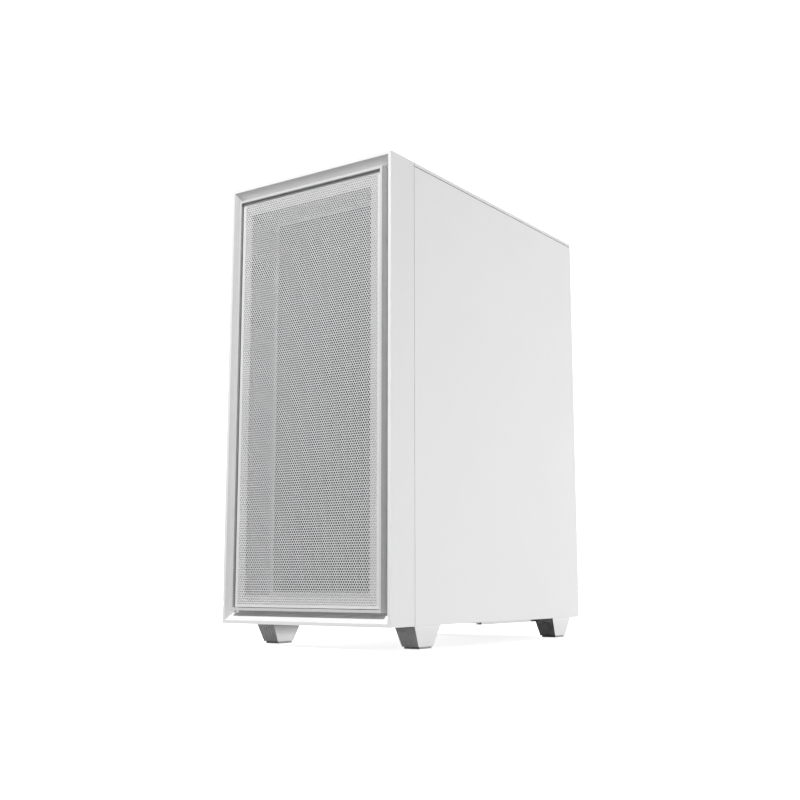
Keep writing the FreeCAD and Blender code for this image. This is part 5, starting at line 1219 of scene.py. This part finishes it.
def cables():
    """The main power wires and the graphics card's wires, each a flat row."""
    low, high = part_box("power_cable_bundle")
    z = (low.z + high.z) / 2
    y = low.y + 6 * MM
    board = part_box("motherboard")[0]
    points = [(high.x, y, z), (high.x - 24 * MM, y, z), (low.x + 8 * MM, y + 8 * MM, z),
              (board.x - 6 * MM, board.y - 9 * MM, z), (board.x - 6 * MM, board.y + 0.5 * MM, z)]
    wires("main_power_wires", "power_cable_bundle", points, 3.3 * MM, 11, 1.55 * MM)
    low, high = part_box("graphics_power_cable")
    z = (low.z + high.z) / 2
    points = [(high.x, y, z), (high.x - 34 * MM, y, z), (low.x + 3 * MM, y + 4 * MM, z),
              (low.x + 4 * MM, high.y, z)]
    wires("graphics_power_wires", "graphics_power_cable", points, 3.1 * MM, 5, 1.45 * MM)


def graphics_card():
    """The card's shroud with fan rings and side fins, its back plate and its rear bracket."""
    softened("graphics_card_shroud", 1.2 * MM, "satin_button", segments=3)
    softened("graphics_card_bracket", 0.2 * MM, "bright_steel")
    low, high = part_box("graphics_card_bracket")
    middle = (low + high) / 2
    row = 9.2 * MM
    sockets = []
    for dx in (-38.0, -16.0, 6.0, 28.0):
        spot = (middle.x + dx * MM, low.y, low.z + row)
        sockets.append((off(spot, -8.2, 0.2, -2.7), off(spot, 8.2, 1.7, 2.7)))
    finish_piece(boxes("card_display_sockets", sockets, 0.5 * MM), "chassis", "black_plastic")
    vents = []
    for i in range(16):
        spot = (middle.x - 44 * MM + i * 5.4 * MM, low.y, high.z - row)
        vents.append((off(spot, 0, 0.3, -5.5), off(spot, 3.0, 1.15, 5.5)))
    finish_piece(boxes("card_bracket_vents", vents, 0.2 * MM), "chassis", "black_plastic")
    low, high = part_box("graphics_card_board")
    shroud_low, shroud_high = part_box("graphics_card_shroud")
    plate = [(off((shroud_low.x, low.y, high.z), 2, 2, -0.3),
              off((shroud_high.x, high.y, high.z), -3, -12, 1.3))]
    finish_piece(boxes("card_back_plate", plate, 0.5 * MM, 3), "chassis", "satin_button")
    bars = []
    for i in range(7):
        y = low.y + 22 * MM + i * 9.5 * MM
        bars.append((off((shroud_low.x, y, high.z), 16, 0, 1.1),
                     off((shroud_high.x, y, high.z), -24, 3.2, 1.6)))
    finish_piece(boxes("card_back_plate_slots", bars, 0.2 * MM), "chassis", "black_plastic")
    fin = boxes("fin", [mm((0.0, 0.0, 0.0), (6.0, 0.7, 15.0))], 0.1 * MM, 1)
    place = Matrix.Translation(off((shroud_low.x, shroud_low.y, shroud_high.z), -0.6, 9, -17))
    fins = grown("card_side_fins", "row", fin, "brushed", place, Count=92, Step=(0.0, 2.5 * MM, 0.0))
    discard(fin)
    finish_piece(fins, "chassis", None)
    outline = mm((43.6, -0.6), (46.4, -0.6), (46.4, 0.2), (45.6, 0.8), (44.2, 0.8), (43.6, 0.2), (43.6, -0.6))
    rings = []
    for node in CARD_ROTORS:
        x, y, _ = spin_of(node)["pos_m"]
        rings.append(lathe("ring", outline, (x, y, shroud_low.z), DOWN, 96))
    finish_piece(joined("card_fan_rings", rings), "chassis", "dark_anodised")


def drives():
    """The two drives, and the lid and screws of the thin one."""
    softened("hard_drive", 1.0 * MM, "brushed", segments=3)
    softened("solid_state_drive", 0.9 * MM, "dark_anodised", segments=3)
    low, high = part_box("solid_state_drive")
    lid = [(off((low.x, low.y, high.z), 5.0, 5.0, -0.1), off(high, -5.0, -5.0, 0.35))]
    finish_piece(boxes("solid_drive_lid", lid, 0.3 * MM, 3), "chassis", "brushed")
    inset = 3 * MM
    places = [(x, y, high.z) for x in (low.x + inset, high.x - inset)
              for y in (low.y + inset, high.y - inset)]
    screws("solid_drive_screws", "chassis", "bright_steel", 1.3 * MM, 0.7 * MM, UP, places)


# ---------------------------------------------------------------- stage

CAMERA_AZIMUTH = 35.05
CAMERA_RISE = 9.10
CAMERA_PLACE = (714.8 * MM, -1048.3 * MM, 64.6 * MM)
CAMERA_LENS = 50.8
CAMERA_SENSOR = 36.0
FLOOR_SHADE = 0.16
FLOOR_REACH = 30.0
# The floor's glow for the camera alone: its strength, and the distances between which that grows.
FLOOR_GLOW, FLOOR_GLOW_REACH = (0.85, 2.0), (0.5, 1.6)
WORLD_LIGHT, WORLD_SEEN = 0.05, 2.0
# Name, direction, distance, size and power.
LIGHTS = (
    ("key", (0.0, -0.80, 0.84), 2.6, 0.45, 72.0),
    ("low_front_fill", (0.0, -1.0, -0.02), 2.6, 0.4, 9.0),
    ("right_fill", (1.0, 0.30, -0.06), 2.4, 0.2, 48.0),
    ("rear_left_fill", (-1.0, 0.50, 0.25), 2.8, 1.4, 135.0),
)


def make_camera():
    """The viewpoint: in front, to the right and low, looking slightly up."""
    camera = bpy.data.objects.new("camera", bpy.data.cameras.new("camera"))
    camera.data.sensor_width = CAMERA_SENSOR
    camera.data.lens = CAMERA_LENS
    camera.data.clip_start = 0.01
    camera.location = CAMERA_PLACE
    camera.rotation_euler = (math.radians(90.0 + CAMERA_RISE), 0.0, math.radians(CAMERA_AZIMUTH))
    scene.collection.objects.link(camera)
    scene.camera = camera


def split_for_camera(nodes, links, light, seen, output):
    """Shows one shader to the camera and lights the scene with another."""
    kind = nodes.new("ShaderNodeLightPath")
    mix = nodes.new("ShaderNodeMixShader")
    links.new(kind.outputs["Is Camera Ray"], mix.inputs["Fac"])
    links.new(light, mix.inputs[1])
    links.new(seen, mix.inputs[2])
    links.new(mix.outputs["Shader"], nodes[output].inputs["Surface"])


def make_floor():
    """A plain floor that reads white to the camera and gives little light back upwards."""
    finish, nodes, links, shader = new_finish("pale_floor")
    shader.inputs["Base Color"].default_value = (*grey(FLOOR_SHADE), 1.0)
    shader.inputs["Roughness"].default_value = 0.9
    glow = nodes.new("ShaderNodeBsdfDiffuse")
    glow.inputs["Color"].default_value = (*grey(0.95), 1.0)
    lift = nodes.new("ShaderNodeEmission")
    where = nodes.new("ShaderNodeTexCoord")
    away = nodes.new("ShaderNodeVectorMath")
    away.operation = "LENGTH"
    links.new(where.outputs["Object"], away.inputs[0])
    spread = remap(nodes, links, away.outputs["Value"], *FLOOR_GLOW, *FLOOR_GLOW_REACH)
    links.new(spread, lift.inputs["Strength"])
    bright = nodes.new("ShaderNodeAddShader")
    links.new(glow.outputs["BSDF"], bright.inputs[0])
    links.new(lift.outputs["Emission"], bright.inputs[1])
    split_for_camera(nodes, links, shader.outputs["BSDF"], bright.outputs["Shader"], "Material Output")
    bm = bmesh.new()
    corner_signs = ((-1, -1), (1, -1), (1, 1), (-1, 1))
    bm.faces.new([bm.verts.new((x * FLOOR_REACH, y * FLOOR_REACH, 0.0)) for x, y in corner_signs])
    floor = mesh_piece("floor", bm)
    floor.data.materials.append(finish)


def make_lights():
    """Soft light from the front and above, low from the right, and from the rear left."""
    world = bpy.data.worlds.new("studio")
    scene.world = world
    world.use_nodes = True
    nodes, links = world.node_tree.nodes, world.node_tree.links
    around = nodes["Background"]
    around.inputs["Color"].default_value = (1.0, 1.0, 1.0, 1.0)
    around.inputs["Strength"].default_value = WORLD_LIGHT
    white = nodes.new("ShaderNodeBackground")
    white.inputs["Strength"].default_value = WORLD_SEEN
    split_for_camera(nodes, links, around.outputs["Background"], white.outputs["Background"],
                     "World Output")
    middle = (Vector(cad_box[0]) + Vector(cad_box[1])) / 2.0
    for name, direction, distance, size, power in LIGHTS:
        light = bpy.data.lights.new(name, "AREA")
        light.size = size
        light.energy = power
        lamp = bpy.data.objects.new(name, light)
        lamp.location = middle + Vector(direction).normalized() * distance
        lamp.rotation_euler = (middle - lamp.location).to_track_quat("-Z", "Y").to_euler()
        scene.collection.objects.link(lamp)
    scene.view_settings.view_transform = "Standard"


def paint_nodes():
    """Materials for the CAD nodes that keep their own meshes."""
    for name, finish in (("front_io_board", "board"), ("motherboard_standoffs", "brass")):
        for place in NODES[name].material_slots:
            place.material = FINISH[finish]


for make in (make_camera, make_floor, make_lights, paint_nodes, front_panel, case_shell, rear_grille, fans,
             slot_covers, rear_screws, power_supply, rear_sockets, top_details, bottom_filter, boards,
             cooler, cables, graphics_card, drives):
    make()
